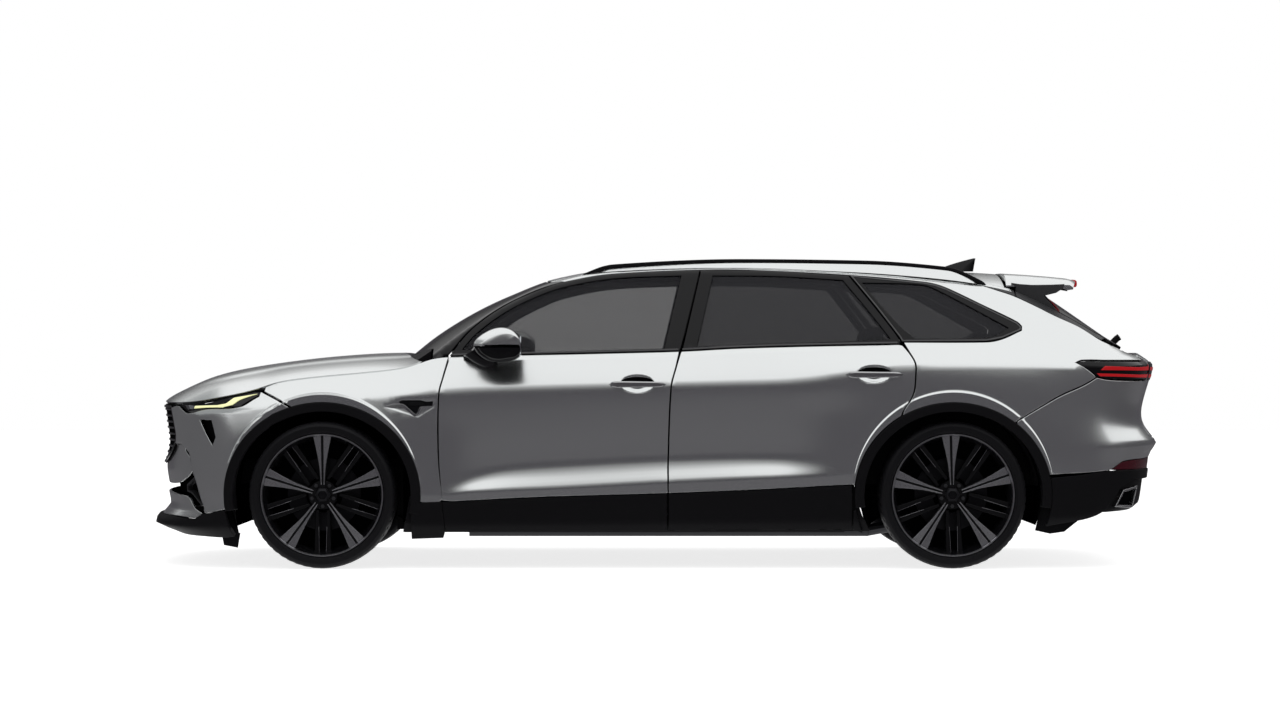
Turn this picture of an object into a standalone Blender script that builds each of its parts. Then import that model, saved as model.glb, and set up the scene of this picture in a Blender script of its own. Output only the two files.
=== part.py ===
"""Shooting brake: a long-bonnet estate car with five doors, built panel by panel.

Metres, +Z up. The car faces -X and its left side is -Y. The origin lies on the ground under the
middle of the car's length and width.

The body is two lofted shells. The tub is a belt of rows that runs round the whole car, from the
nose round the corners to the tail. The cabin top is a row of sections across the car. Each panel
is what an outline cuts from those shells, so neighbours share one surface and one gap.
"""

import math

import bmesh
import bpy
from mathutils import Matrix, Vector

# ---------------------------------------------------------------- driving dimensions (metres)
LENGTH = 5.07
WHEELBASE = 3.066
FRONT_AXLE_X = -1.618
REAR_AXLE_X = FRONT_AXLE_X + WHEELBASE
TRACK = 1.665
TYRE_DIAMETER = 0.716
TYRE_WIDTH = 0.265
TYRE_WALL = 0.061            # height of a tyre above its rim
RIM_DIAMETER = TYRE_DIAMETER - 2 * TYRE_WALL
RIM_HUB_BACK = 0.040         # how far a wheel's hub reaches inwards from its middle plane
RIM_SPOKE_PAIRS = 5
ARCH_RADIUS = TYRE_DIAMETER / 2 + 0.050     # edge of the wheel opening
WELL_RADIUS = TYRE_DIAMETER / 2 + 0.074     # inside a front wing, round the turned wheel
WELL_INNER_W, WELL_STEP_W = TRACK / 2 - 0.3445, 0.880
REAR_WELL_W = TRACK / 2 - TYRE_WIDTH / 2 - 0.075      # inner face of a rear wheel housing
WELL_WALL = 0.028            # thickness of the wheel housings
MOULDING_WIDTH = 0.044       # dark moulding round each wheel opening
ARCH_FLARE = 0.032           # how far the body swells over a wheel
NOSE_X = -LENGTH / 2         # tip of the lower lip
TAIL_X = LENGTH / 2          # crease of the rear bumper

WALL = 0.090                 # whole thickness of a door or a lower body wall
FRAME = 0.050                # body frame behind the doors
TOP_WALL = 0.045             # thickness of the roof and of the window frames
TOP_FRAME = 0.035            # body frame behind the window frames
HINGE_LEVELS = (0.460, 0.800)
GLASS = 0.006
GLASS_INSET = 0.003          # how far glass lies under the outer surface
SHUT_GAP = 0.006             # gap round a door, the bonnet and the tailgate
FIT_GAP = 0.0003             # gap between pieces that touch
DOOR_DRAFT = 0.30            # slope of the rear edge of a door, so that it swings clear
APERTURE_FLANGE = 0.045      # how far the body frame reaches in behind a door's edge
SILL_TOP = 0.400

FRONT_ARC_END = -1.86        # where the nose corner has become the side
REAR_ARC_START = 2.00
FRONT_ROUNDNESS = 2.6        # exponents of the corners' superellipses
REAR_ROUNDNESS = 3.0
ARC_STEPS = 4

DOOR_AXIS_W = 0.962          # hinge axes lie just outside the skin
FRONT_DOOR_AXIS_X = -1.054
REAR_DOOR_AXIS_X = 0.068
BONNET_AXIS = (-1.130, 1.056)
BONNET_LEAD = 0.22           # slant of its front faces, which move forwards as it opens
BONNET_SHRINK = SHUT_GAP + 0.005
BONNET_REAR_BOW = 0.135      # how far the middle of its rear edge lies ahead of the corners
TAILGATE_AXIS = (1.745, 1.470)
TAILGATE_HALF_WIDTH = 0.600
LAMP_INNER_W = 0.520         # inner end of a headlamp
UPRIGHT_HALF = 0.035         # half thickness of a front upright
KINGPIN_W = TRACK / 2 - RIM_HUB_BACK - UPRIGHT_HALF - 0.0425      # steering axis, half distance

KNUCKLE_HALF_HEIGHT = 0.150
FIREWALL_X = -1.285
FLOOR_LOW, FLOOR_TOP = 0.170, 0.205
DECK_LOW, DECK_TOP = TYRE_DIAMETER / 2 + 0.042, TYRE_DIAMETER / 2 + 0.067
RAIL_LOW = DECK_LOW          # underside of the front rails

# rows of the tub, from the bottom up; columns: x, z, half width; each runs from nose to tail
TUB_ROWS = {
    "under": [(-2.390, 0.160, .86), (-2.190, 0.130, .88), (-1.900, 0.128, .90), (-1.050, 0.144, .90),
              (0.060, 0.151, .90), (0.950, 0.159, .90), (1.850, 0.168, .90), (2.250, 0.205, .88),
              (2.350, 0.235, .86)],
    "lip": [(NOSE_X, 0.208, .93), (-2.200, 0.200, .945), (-1.900, 0.205, .945), (-1.050, 0.215, .942),
            (0.950, 0.235, .942), (1.900, 0.250, .942), (2.460, 0.300, .92)],
    "cladding": [(-2.457, 0.300, .935), (-2.190, 0.295, .950), (-1.093, 0.321, .950),
                 (-0.573, 0.346, .950), (0.061, 0.365, .950), (0.507, 0.383, .950),
                 (0.966, 0.407, .950), (1.920, 0.439, .950), (2.227, 0.476, .945), (2.490, 0.500, .93)],
    "low_crease": [(-2.475, 0.385, .935), (-1.900, 0.375, .955), (-1.030, 0.358, .952),
                   (-0.894, 0.375, .955), (-0.466, 0.392, .957), (0.063, 0.421, .957),
                   (0.507, 0.442, .957), (0.723, 0.450, .955), (0.950, 0.460, .953),
                   (1.900, 0.500, .950), (2.250, 0.530, .945), (2.495, 0.550, .93)],
    "scallop": [(-2.490, 0.490, .93), (-1.900, 0.460, .950), (-1.030, 0.430, .945),
                (-0.850, 0.467, .925), (-0.734, 0.490, .921), (-0.467, 0.510, .921),
                (0.063, 0.537, .921), (0.428, 0.546, .922), (0.603, 0.545, .924),
                (0.750, 0.540, .935), (0.950, 0.550, .950), (1.900, 0.580, .948),
                (2.250, 0.600, .945), (TAIL_X, 0.605, .93)],
    "middle": [(-2.467, 0.600, .925), (-1.900, 0.640, .940), (-1.050, 0.660, .940),
               (0.000, 0.700, .942), (0.900, 0.740, .945), (1.900, 0.760, .938), (2.455, 0.740, .90)],
    "shoulder": [(-2.478, 0.700, .915), (-2.000, 0.780, .920), (-1.336, 0.840, .925),
                 (-1.030, 0.856, .948), (0.063, 0.888, .955), (0.549, 0.898, .957),
                 (0.723, 0.909, .957), (0.918, 0.944, .957), (1.135, 0.984, .952),
                 (1.267, 0.993, .948), (2.032, 1.002, .915), (2.520, 0.990, .87)],
    "belt": [(-2.494, 0.797, .870), (-2.320, 0.802, .862), (-2.100, 0.835, .856),
             (-1.940, 0.872, .850), (-1.850, 0.905, .846), (-1.652, 0.932, .846),
             (-1.422, 0.953, .850), (-1.232, 0.975, .860), (-1.050, 1.030, .872),
             (-0.899, 1.035, .880), (-0.253, 1.049, .885), (0.127, 1.059, .885),
             (0.415, 1.074, .885), (0.912, 1.087, .880), (1.200, 1.092, .870),
             (1.624, 1.099, .845), (2.000, 1.095, .805), (2.250, 1.085, .765), (2.400, 1.078, .72)],
}
ROW_FLARE = {"under": .3, "lip": .6, "cladding": .8, "low_crease": .9, "scallop": 1.0, "middle": 1.0,
             "shoulder": .45, "belt": 0.0}
SIDE_STATIONS = (-1.86, -1.62, -1.38, -1.14, -0.92, -0.72, -0.20, 0.40, 0.70, 0.94, 1.18, 1.45, 1.72,
                 2.00)

# sections of the cabin top; columns: x, height of the side edge, half width there,
# half width at the belt, height on the centre line
TOP_SECTIONS = [
    (-1.330, 0.930, .840, .845, 0.955), (-1.241, 0.960, .838, .850, 1.030),
    (-1.102, 1.035, .835, .858, 1.144), (-0.891, 1.190, .782, .868, 1.272),
    (-0.730, 1.293, .752, .872, 1.346), (-0.500, 1.394, .728, .874, 1.430),
    (-0.204, 1.450, .714, .876, 1.476), (0.330, 1.470, .710, .876, 1.489),
    (0.956, 1.444, .704, .870, 1.484), (1.400, 1.407, .692, .853, 1.470),
    (1.745, 1.352, .670, .826, 1.455), (1.870, 1.300, .664, .812, 1.420),
    (2.030, 1.222, .658, .790, 1.318), (2.330, 1.060, .650, .740, 1.100),
]
TOP_CROWN = (0.0, 0.40, 0.75, 1.0)      # places across the roof, as shares of its half width
TOP_CROWN_POWER = 2.4

# outlines in side view, as x, z on the skin, from the lower front corner upwards and round
B_LINE = [(0.222, 1.459), (0.127, 1.074), (0.100, 0.980), (0.076, 0.884), (0.061, 0.514),
          (0.061, 0.425), (0.061, 0.368), (0.061, 0.225), (0.061, 0.186)]   # between the doors
FRONT_DOOR = [(-1.018, 0.182), (-1.046, 0.320), (-1.054, 0.560), (-1.052, 0.850), (-1.031, 0.940),
              (-0.995, 1.040), (-0.900, 1.162), (-0.758, 1.270), (-0.610, 1.344), (-0.455, 1.398),
              (-0.204, 1.440)] + B_LINE
REAR_DOOR = [(x + SHUT_GAP, z) for x, z in reversed(B_LINE)] + [
             (0.600, 1.453), (0.953, 1.432), (1.080, 1.270), (1.200, 1.112),
             (1.250, 1.030), (1.266, 0.950), (1.250, 0.850), (1.170, 0.735), (1.085, 0.650),
             (1.010, 0.520), (0.976, 0.425), (0.966, 0.360), (0.957, 0.235), (0.955, 0.192)]
FRONT_WINDOW = [(-0.942, 1.066), (-0.873, 1.146), (-0.742, 1.244), (-0.600, 1.318), (-0.450, 1.372),
                (-0.204, 1.416), (0.130, 1.430), (0.046, 1.072), (-0.250, 1.064), (-0.650, 1.052)]
REAR_WINDOW = [(0.205, 1.080), (0.285, 1.430), (0.600, 1.427), (0.925, 1.408), (1.035, 1.270),
               (1.150, 1.118), (0.900, 1.106), (0.500, 1.093)]
QUARTER_WINDOW = [(1.020, 1.395), (1.319, 1.385), (1.405, 1.352), (1.735, 1.172), (1.640, 1.128),
                  (1.270, 1.120), (1.180, 1.200)]
BUMPER_SIDE = [(-2.700, 0.050), (-2.700, 0.900), (-2.050, 0.900), (-1.900, 0.858), (-1.762, 0.785),
               (FRONT_AXLE_X, 0.500), (FRONT_AXLE_X, 0.050)]
HEADLAMP_SIDE = [(-2.700, 0.765), (-2.300, 0.765), (-2.076, 0.785), (-1.905, 0.860), (-1.925, 0.900),
                 (-2.700, 0.900)]
WING_SIDE = [(-2.100, 0.050), (-2.100, 0.965), (-1.10, 1.047), (-1.014, 1.047), (-1.036, 0.940),
             (-1.057, 0.850), (-1.059, 0.560), (-1.051, 0.320), (-1.023, 0.050)]
REAR_BUMPER_SIDE = [(1.30, 0.050), (1.30, 0.500), (REAR_AXLE_X, 0.560), (1.751, 0.723), (2.153, 0.930),
                    (2.250, 0.895), (2.300, 0.630), (2.700, 0.630), (2.700, 0.050)]
TAIL_LAMP_SIDE = [(2.156, 0.931), (2.050, 1.001), (2.080, 1.012), (2.700, 1.012), (2.700, 0.905),
                  (2.252, 0.900)]
WINDSCREEN_PLAN = [(-1.238, 0.0), (-1.220, 0.30), (-1.172, 0.55), (-1.090, 0.735), (-0.860, 0.690),
                   (-0.640, 0.655), (-0.520, 0.635), (-0.545, 0.35), (-0.552, 0.0)]
TAILGATE_GLASS_PLAN = [(1.980, 0.0), (1.980, TAILGATE_HALF_WIDTH - 0.08), (2.275, TAILGATE_HALF_WIDTH - 0.06),
                       (2.300, TAILGATE_HALF_WIDTH / 2), (2.305, 0.0)]

# features of the skin in side view
NOSTRIL = [(-2.219, 0.725), (-2.163, 0.722), (-2.144, 0.641), (-2.158, 0.599), (-2.197, 0.660), (-2.312, 0.613)]
WING_VENT = [(-1.317, 0.795), (-1.222, 0.835), (-1.074, 0.815), (-1.084, 0.795), (-1.163, 0.745)]
LAMP_STRIP = [(-2.249, 0.788), (-2.101, 0.803), (-2.051, 0.841), (-1.946, 0.856), (-1.946, 0.848), (-2.045, 0.832),
              (-2.096, 0.794), (-2.245, 0.779)]
TAIL_BARS = ([(2.170, 0.987), (2.700, 0.985), (2.700, 0.965), (2.180, 0.967)],
             [(2.160, 0.945), (2.700, 0.942), (2.700, 0.920), (2.200, 0.922)])
HANDLES = {"front": (-0.086, 0.908), "rear": (1.066, 0.957)}      # middle of each handle
HANDLE_SIZE = (0.266, 0.026)
GRILLE_BARS = (0.545, 0.590, 0.635, 0.680, 0.725)                 # heights
LOWER_INTAKE = [(0.0, 0.325), (0.560, 0.325), (0.610, 0.420), (0.0, 0.430)]

# crest of a roof rail: x, z
ROOF_RAIL = [(-0.366, 1.452), (-0.204, 1.489), (0.423, 1.515), (1.029, 1.508), (1.435, 1.478),
             (1.588, 1.445)]

PAINT, TRIM, TYRE, ALLOY = "silver_paint", "dark_trim", "tyre_rubber", "alloy"
GLASSY, LAMP, RED_LAMP, STEEL, HIDE = "tinted_glass", "lamp_clear", "lamp_red", "dark_steel", "seat_leather"
# colour (linear), roughness, metallic
FINISHES = {
    PAINT: ((0.50, 0.51, 0.53), 0.30, 0.80), TRIM: ((0.015, 0.015, 0.016), 0.60, 0.0),
    TYRE: ((0.018, 0.018, 0.019), 0.85, 0.0), ALLOY: ((0.42, 0.43, 0.45), 0.30, 1.0),
    GLASSY: ((0.020, 0.022, 0.025), 0.05, 0.0), LAMP: ((0.55, 0.58, 0.62), 0.08, 0.0),
    RED_LAMP: ((0.45, 0.01, 0.01), 0.15, 0.0), STEEL: ((0.06, 0.06, 0.065), 0.55, 0.8),
    HIDE: ((0.035, 0.033, 0.032), 0.55, 0.0),
}
SIDES = {"left": -1, "right": 1}


# ---------------------------------------------------------------- scene, materials, small tools
def clear_scene():
    for thing in list(bpy.data.objects):
        bpy.data.objects.remove(thing, do_unlink=True)


def new_collection(name):
    collection = bpy.data.collections.new(name)
    bpy.context.scene.collection.children.link(collection)
    return collection


def finish_of(name):
    material = bpy.data.materials.get(name)
    if material is None:
        colour, roughness, metallic = FINISHES[name]
        material = bpy.data.materials.new(name)
        material.use_nodes = True
        shader = material.node_tree.nodes["Principled BSDF"]
        shader.inputs["Base Color"].default_value = (*colour, 1.0)
        shader.inputs["Roughness"].default_value = roughness
        shader.inputs["Metallic"].default_value = metallic
    return material


def object_from(bm, name="cutter"):
    """Close a bmesh into a new object among the cutters, its faces pointing out."""
    bmesh.ops.remove_doubles(bm, verts=bm.verts, dist=1e-6)
    bmesh.ops.triangulate(bm, faces=bm.faces)
    bmesh.ops.recalc_face_normals(bm, faces=bm.faces)
    mesh = bpy.data.meshes.new(name)
    bm.to_mesh(mesh)
    bm.free()
    thing = bpy.data.objects.new(name, mesh)
    thing.hide_render = True
    thing.display_type = "WIRE"
    CUTTERS.objects.link(thing)
    return thing


def copy_of(thing):
    twin = thing.copy()
    twin.data = thing.data.copy()
    CUTTERS.objects.link(twin)
    return twin


def discard(*things):
    for thing in things:
        bpy.data.objects.remove(thing, do_unlink=True)


def combine(base, operand, operation, keep=False):
    """Apply one exact Boolean to base, and drop the operand unless it is kept."""
    modifier = base.modifiers.new("boolean", "BOOLEAN")
    modifier.operation = operation
    modifier.solver = "EXACT"
    modifier.object = operand
    bpy.context.view_layer.update()
    depsgraph = bpy.context.evaluated_depsgraph_get()
    mesh = bpy.data.meshes.new_from_object(base.evaluated_get(depsgraph))
    base.modifiers.clear()
    base.data = mesh
    if not keep:
        discard(operand)
    return base


def cut(base, operand, keep=False):
    return combine(base, operand, "DIFFERENCE", keep)


def join(base, operand, keep=False):
    return combine(base, operand, "UNION", keep)


def common(base, operand, keep=False):
    return combine(base, operand, "INTERSECT", keep)


def main_body(thing):
    """Drop the offcuts that a Boolean leaves beside the piece itself."""
    bm = bmesh.new()
    bm.from_mesh(thing.data)
    bmesh.ops.triangulate(bm, faces=bm.faces)
    unseen, bodies = set(bm.verts), []
    while unseen:
        body, edge = set(), [unseen.pop()]
        while edge:
            vertex = edge.pop()
            body.add(vertex)
            for other in (e.other_vert(vertex) for e in vertex.link_edges):
                if other in unseen:
                    unseen.remove(other)
                    edge.append(other)
        bodies.append(body)
    bodies.sort(key=len)
    offcuts = [vertex for body in bodies[:-1] for vertex in body]
    bmesh.ops.delete(bm, geom=offcuts, context="VERTS")
    bmesh.ops.remove_doubles(bm, verts=bm.verts, dist=5e-6)
    bmesh.ops.dissolve_limit(bm, angle_limit=math.radians(0.2), verts=bm.verts, edges=bm.edges)
    bmesh.ops.triangulate(bm, faces=bm.faces)
    bm.to_mesh(thing.data)
    bm.free()
    return thing


def part(thing, name, finish, origin=(0, 0, 0), smooth=False):
    """Turn a finished solid into a named part with its origin on its joint or reference point."""
    main_body(thing)
    CUTTERS.objects.unlink(thing)
    PARTS.objects.link(thing)
    thing.name = name
    thing.data.name = name
    thing.hide_render = False
    thing.display_type = "TEXTURED"
    thing.data.materials.clear()
    thing.data.materials.append(finish_of(finish))
    thing.data.transform(Matrix.Translation(-Vector(origin)))
    thing.location = origin
    if smooth:
        thing.data.shade_smooth()
        thing.data.set_sharp_from_angle(angle=math.radians(35))
    return thing


def box(low, high):
    bm = bmesh.new()
    size = [b - a for a, b in zip(low, high)]
    middle = [(a + b) / 2 for a, b in zip(low, high)]
    bmesh.ops.create_cube(bm, size=1.0, matrix=Matrix.Translation(middle) @ Matrix.Diagonal((*size, 1)))
    return object_from(bm)


def rod(start, end, radius, sides=12, end_radius=None):
    """A round bar or cone between two points."""
    start, end = Vector(start), Vector(end)
    bm = bmesh.new()
    turn = (end - start).to_track_quat("Z", "Y").to_matrix().to_4x4()
    bmesh.ops.create_cone(bm, cap_ends=True, segments=sides, radius1=radius,
                          radius2=radius if end_radius is None else end_radius,
                          depth=(end - start).length,
                          matrix=Matrix.Translation((start + end) / 2) @ turn)
    return object_from(bm)


def loft(loops, strip_ends=False):
    """Skin between loops of equal length, each a list of points; a bent end is closed in strips."""
    bm = bmesh.new()
    rings = [[bm.verts.new(point) for point in loop] for loop in loops]
    count = len(rings[0])
    for lower, upper in zip(rings, rings[1:]):
        for i in range(count):
            j = (i + 1) % count
            bm.faces.new((lower[i], lower[j], upper[j], upper[i]))
    for ring in (rings[0], rings[-1]):
        if strip_ends:
            for i in range(count // 2 - 1):
                bm.faces.new((ring[i], ring[i + 1], ring[count - 2 - i], ring[count - 1 - i]))
        else:
            bm.faces.new(ring)
    return object_from(bm)


def prism(outline, axis, low, high):
    """A straight prism of a flat outline; axis is the one that the outline doesn't use."""
    place = {"x": lambda a, b, c: (c, a, b), "y": lambda a, b, c: (a, c, b), "z": lambda a, b, c: (a, b, c)}
    return loft([[place[axis](a, b, level) for a, b in outline] for level in (low, high)])


def mirrored_plan(half, grow=0.0):
    """A whole outline in plan from its right half, whose ends lie on the centre line."""
    half = grown(half + [(x, -w) for x, w in reversed(half[1:-1])], grow)
    return half


def grown(outline, distance):
    """Move each edge of an outline outwards by a distance, with mitred corners."""
    if not distance:
        return list(outline)
    area = sum(a[0] * b[1] - b[0] * a[1] for a, b in zip(outline, outline[1:] + outline[:1]))
    turn = 1 if area > 0 else -1
    result = []
    for before, here, after in zip(outline[-1:] + outline[:-1], outline, outline[1:] + outline[:1]):
        first = Vector((here[0] - before[0], here[1] - before[1])).normalized()
        second = Vector((after[0] - here[0], after[1] - here[1])).normalized()
        normals = Vector((first.y, -first.x)), Vector((second.y, -second.x))
        middle = (normals[0] + normals[1]).normalized()
        reach = turn * distance / max(middle.dot(normals[0]), 0.35)
        result.append((here[0] + middle.x * reach, here[1] + middle.y * reach))
    return result


def along(table, column, x):
    """Smooth value at x of one column of a table, without overshoot (monotone cubic)."""
    if x <= table[0][0]:
        return table[0][column]
    if x >= table[-1][0]:
        return table[-1][column]
    index = max(i for i in range(len(table) - 1) if table[i][0] <= x)

    def slope(i):
        return (table[i + 1][column] - table[i][column]) / (table[i + 1][0] - table[i][0])

    def tangent(i):
        if i in (0, len(table) - 1):
            return slope(min(i, len(table) - 2))
        before, after = slope(i - 1), slope(i)
        return 0.0 if before * after <= 0 else 2 * before * after / (before + after)

    span = table[index + 1][0] - table[index][0]
    t = (x - table[index][0]) / span
    low, high = table[index][column], table[index + 1][column]
    return ((2 * t**3 - 3 * t**2 + 1) * low + (t**3 - 2 * t**2 + t) * span * tangent(index)
            + (3 * t**2 - 2 * t**3) * high + (t**3 - t**2) * span * tangent(index + 1))


# ---------------------------------------------------------------- the body's two surfaces
def flare(x):
    return ARCH_FLARE * max(math.exp(-((x - axle) / 0.50) ** 4) for axle in (FRONT_AXLE_X, REAR_AXLE_X))


def side_width(row, x):
    return along(TUB_ROWS[row], 2, x) + ROW_FLARE[row] * flare(x)


def tub_half(row, depth):
    """Points x, half width, z of one row from the nose's middle to the tail's, at a depth in."""
    nose, tail = TUB_ROWS[row][0][0], TUB_ROWS[row][-1][0]
    points = []
    for step in range(ARC_STEPS):
        angle = math.pi / 2 * step / ARC_STEPS
        reach = 1 - math.cos(angle) ** (2 / FRONT_ROUNDNESS)
        spread = math.sin(angle) ** (2 / FRONT_ROUNDNESS)
        outer_x = nose + (FRONT_ARC_END - nose) * reach
        x = nose + depth + (FRONT_ARC_END - nose - depth) * reach
        points.append((x, (side_width(row, outer_x) - depth) * spread, along(TUB_ROWS[row], 1, outer_x)))
    for x in SIDE_STATIONS:
        points.append((x, side_width(row, x) - depth, along(TUB_ROWS[row], 1, x)))
    for step in reversed(range(ARC_STEPS)):
        angle = math.pi / 2 * step / ARC_STEPS
        reach = 1 - math.cos(angle) ** (2 / REAR_ROUNDNESS)
        spread = math.sin(angle) ** (2 / REAR_ROUNDNESS)
        outer_x = tail - (tail - REAR_ARC_START) * reach
        x = tail - depth - (tail - depth - REAR_ARC_START) * reach
        points.append((x, (side_width(row, outer_x) - depth) * spread, along(TUB_ROWS[row], 1, outer_x)))
    return points


def tub(outer, inner, lift=0.0):
    """The tub's wall between two depths, as one closed ring; lift raises its rim."""
    bm = bmesh.new()
    surfaces = []
    for depth in (outer, inner):
        rings = []
        for row in TUB_ROWS:
            half = tub_half(row, depth)
            whole = half + [(x, -w, z) for x, w, z in reversed(half[1:-1])]
            rings.append([bm.verts.new(point) for point in whole])
        if lift:
            rings.append([bm.verts.new((x, w, z + lift)) for x, w, z in whole])
        surfaces.append(rings)
    outside, inside = surfaces
    pairs = list(zip(outside, outside[1:])) + list(zip(inside, inside[1:]))
    pairs += [(outside[0], inside[0]), (outside[-1], inside[-1])]
    count = len(outside[0])
    for lower, upper in pairs:
        for i in range(count):
            j = (i + 1) % count
            bm.faces.new((lower[i], lower[j], upper[j], upper[i]))
    return object_from(bm)


def belt_height(x):
    return along(TUB_ROWS["belt"], 1, x)


def top_section(row, depth, leg):
    """Right half of one section of the cabin top, from below the belt up and over to the middle."""
    x, edge_z, edge_w, belt_w, centre_z = row
    belt = min(belt_height(x), edge_z - 0.030)
    points = [(x, belt_w - depth, belt - leg), (x, belt_w - depth, belt - depth)]
    for share in (0.5, 1.0):
        points.append((x, belt_w + (edge_w - belt_w) * share - depth,
                       belt + (edge_z - belt) * share - depth))
    for share in reversed(TOP_CROWN[:-1]):
        drop = (centre_z - edge_z) * share ** TOP_CROWN_POWER
        points.append((x, (edge_w - depth) * share, centre_z - drop - depth))
    return points


def cabin_top(outer, inner, leg=0.140):
    """The wall of the cabin's upper part between two depths, open below, reaching a leg under the belt."""
    loops = []
    for row in TOP_SECTIONS:
        outside, inside = top_section(row, outer, leg), top_section(row, inner, leg)
        whole = [outside + [(x, -w, z) for x, w, z in reversed(outside[:-1])],
                 inside + [(x, -w, z) for x, w, z in reversed(inside[:-1])]]
        loops.append(whole[0] + whole[1][::-1])
    return loft(loops, strip_ends=True)


def body_wall(outer, inner, top_outer, top_inner, leg=0.140, lift=0.0):
    return join(tub(outer, inner, lift), cabin_top(top_outer, top_inner, leg))


def skin_width(x, z):
    """Half width of the outer skin at a place in side view."""
    rows = [(along(TUB_ROWS[row], 1, x), side_width(row, x)) for row in TUB_ROWS]
    belt = rows[-1]
    if z >= belt[0]:
        edge_z, edge_w = (along(TOP_SECTIONS, column, x) for column in (1, 2))
        share = min(max((z - belt[0]) / max(edge_z - belt[0], 0.01), 0), 1)
        return belt[1] + (edge_w - belt[1]) * share
    for (low_z, low_w), (high_z, high_w) in zip(rows, rows[1:]):
        if z <= high_z:
            share = min(max((z - low_z) / max(high_z - low_z, 1e-4), 0), 1)
            return low_w + (high_w - low_w) * share
    return belt[1]


def side_prism(outline, side, grow=0.0, draft=0.0, inner_w=0.45, outer_w=1.15):
    """A prism across one side of the car; draft slants its rear edge forward as it goes in."""
    outline = grown(outline, grow)
    middle = sum(x for x, z in outline) / len(outline)
    loops = []
    for level in (outer_w, inner_w):
        loops.append([(x + (draft * (level - skin_width(x, z)) if x > middle else 0), side * level, z)
                      for x, z in outline])
    return loft(loops)


def wheel_well(axle_x, side, radius=ARCH_RADIUS, inner_w=0.60):
    """The round opening for a wheel; a front one is wider inside, where the wheel turns to its locks."""
    axle_z = TYRE_DIAMETER / 2
    well = rod((axle_x, side * inner_w, axle_z), (axle_x, side * 1.2, axle_z), radius, 40)
    if axle_x == FRONT_AXLE_X:
        join(well, rod((axle_x, side * WELL_INNER_W, axle_z), (axle_x, side * WELL_STEP_W, axle_z),
                       WELL_RADIUS, 40))
    return well


# ---------------------------------------------------------------- panels
def bonnet_edge():
    """Stations x, half width, z along the bonnet's edge from the nose to the screen."""
    return [point for point in tub_half("belt", 0.0) if point[0] <= -1.12]


def bonnet_solid(shrink, under, over=0.0, slant=BONNET_LEAD):
    """The bonnet between its crowned top and a skin below it; shrink pulls its edge in."""
    crown = [(-2.494, 0.797), (-2.470, 0.820), (-2.400, 0.860), (-2.200, 0.938), (-1.900, 0.994),
             (-1.569, 1.031), (-1.351, 1.044), (-1.120, 1.048)]
    shares = (-1.0, -0.93, -0.72, -0.40, 0.0, 0.40, 0.72, 0.93, 1.0)
    stations = [(x, w, z) for x, w, z in bonnet_edge() if w > 0.1]
    plan = [(x, w) for x, w, z in stations]
    plan = grown(plan + [(x, -w) for x, w in reversed(plan)], -shrink)
    loops = []
    for (x, w), (_, _, z) in zip(plan, stations):
        top = along(crown, 1, x)
        bow = BONNET_REAR_BOW * smooth_step((x + 1.45) / 0.31)
        lead = slant * under * smooth_step((-1.40 - x) / 0.50)
        row = [(x - bow * (1 - s * s), s * w, top - (top - z) * abs(s) ** 3.2 + over) for s in shares]
        low = [(px + lead, py, pz - over - under) for px, py, pz in reversed(row)]
        loops.append(row + low)
    return loft(loops, strip_ends=True)


def smooth_step(t):
    t = min(max(t, 0.0), 1.0)
    return t * t * (3 - 2 * t)


def build_bonnet(cutters):
    bonnet = bonnet_solid(BONNET_SHRINK, 0.030)
    x, z = BONNET_AXIS
    part(bonnet, "bonnet", PAINT, (x, 0, z), smooth=True)
    cutters["bonnet"] = bonnet_solid(0.003, 0.046, 0.05, BONNET_LEAD * 0.65)


def door_limit(side, slack):
    """All that lies outboard of the inner edge of the window frames."""
    edge = [(x, side * (edge_w - TOP_WALL + 0.002 - slack)) for x, z, edge_w, _, _ in TOP_SECTIONS]
    return prism(edge + [(edge[-1][0], side * 1.3), (edge[0][0], side * 1.3)], "z", 0.0, 2.0)


def door_handle(side, x, z):
    """A bar on two feet, standing off the skin."""
    half, height = HANDLE_SIZE[0] / 2, HANDLE_SIZE[1] / 2
    w = skin_width(x, z)
    bar = loft([[(x - half, side * (w + a), z - height * k), (x - half * 0.8, side * (w + b), z - height),
                 (x + half * 0.8, side * (w + b), z - height), (x + half, side * (w + a), z - height * k),
                 (x + half, side * (w + a), z + height * k), (x + half * 0.8, side * (w + b), z + height),
                 (x - half * 0.8, side * (w + b), z + height), (x - half, side * (w + a), z + height * k)]
                for a, b, k in ((0.008, 0.010, 0.5), (0.016, 0.026, 0.6))])
    for shift in (-0.78, 0.78):
        low, high = sorted((side * (w - 0.020), side * (w + 0.014)))
        join(bar, box((x + shift * half - 0.016, low, z - 0.009), (x + shift * half + 0.016, high, z + 0.009)))
    return bar


def raised(outline, side, height, inner_w=0.45):
    """A strip of the tub's skin that stands proud of it by a height."""
    return common(tub(-height, 0.020), side_prism(outline, side, inner_w=inner_w))


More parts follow.
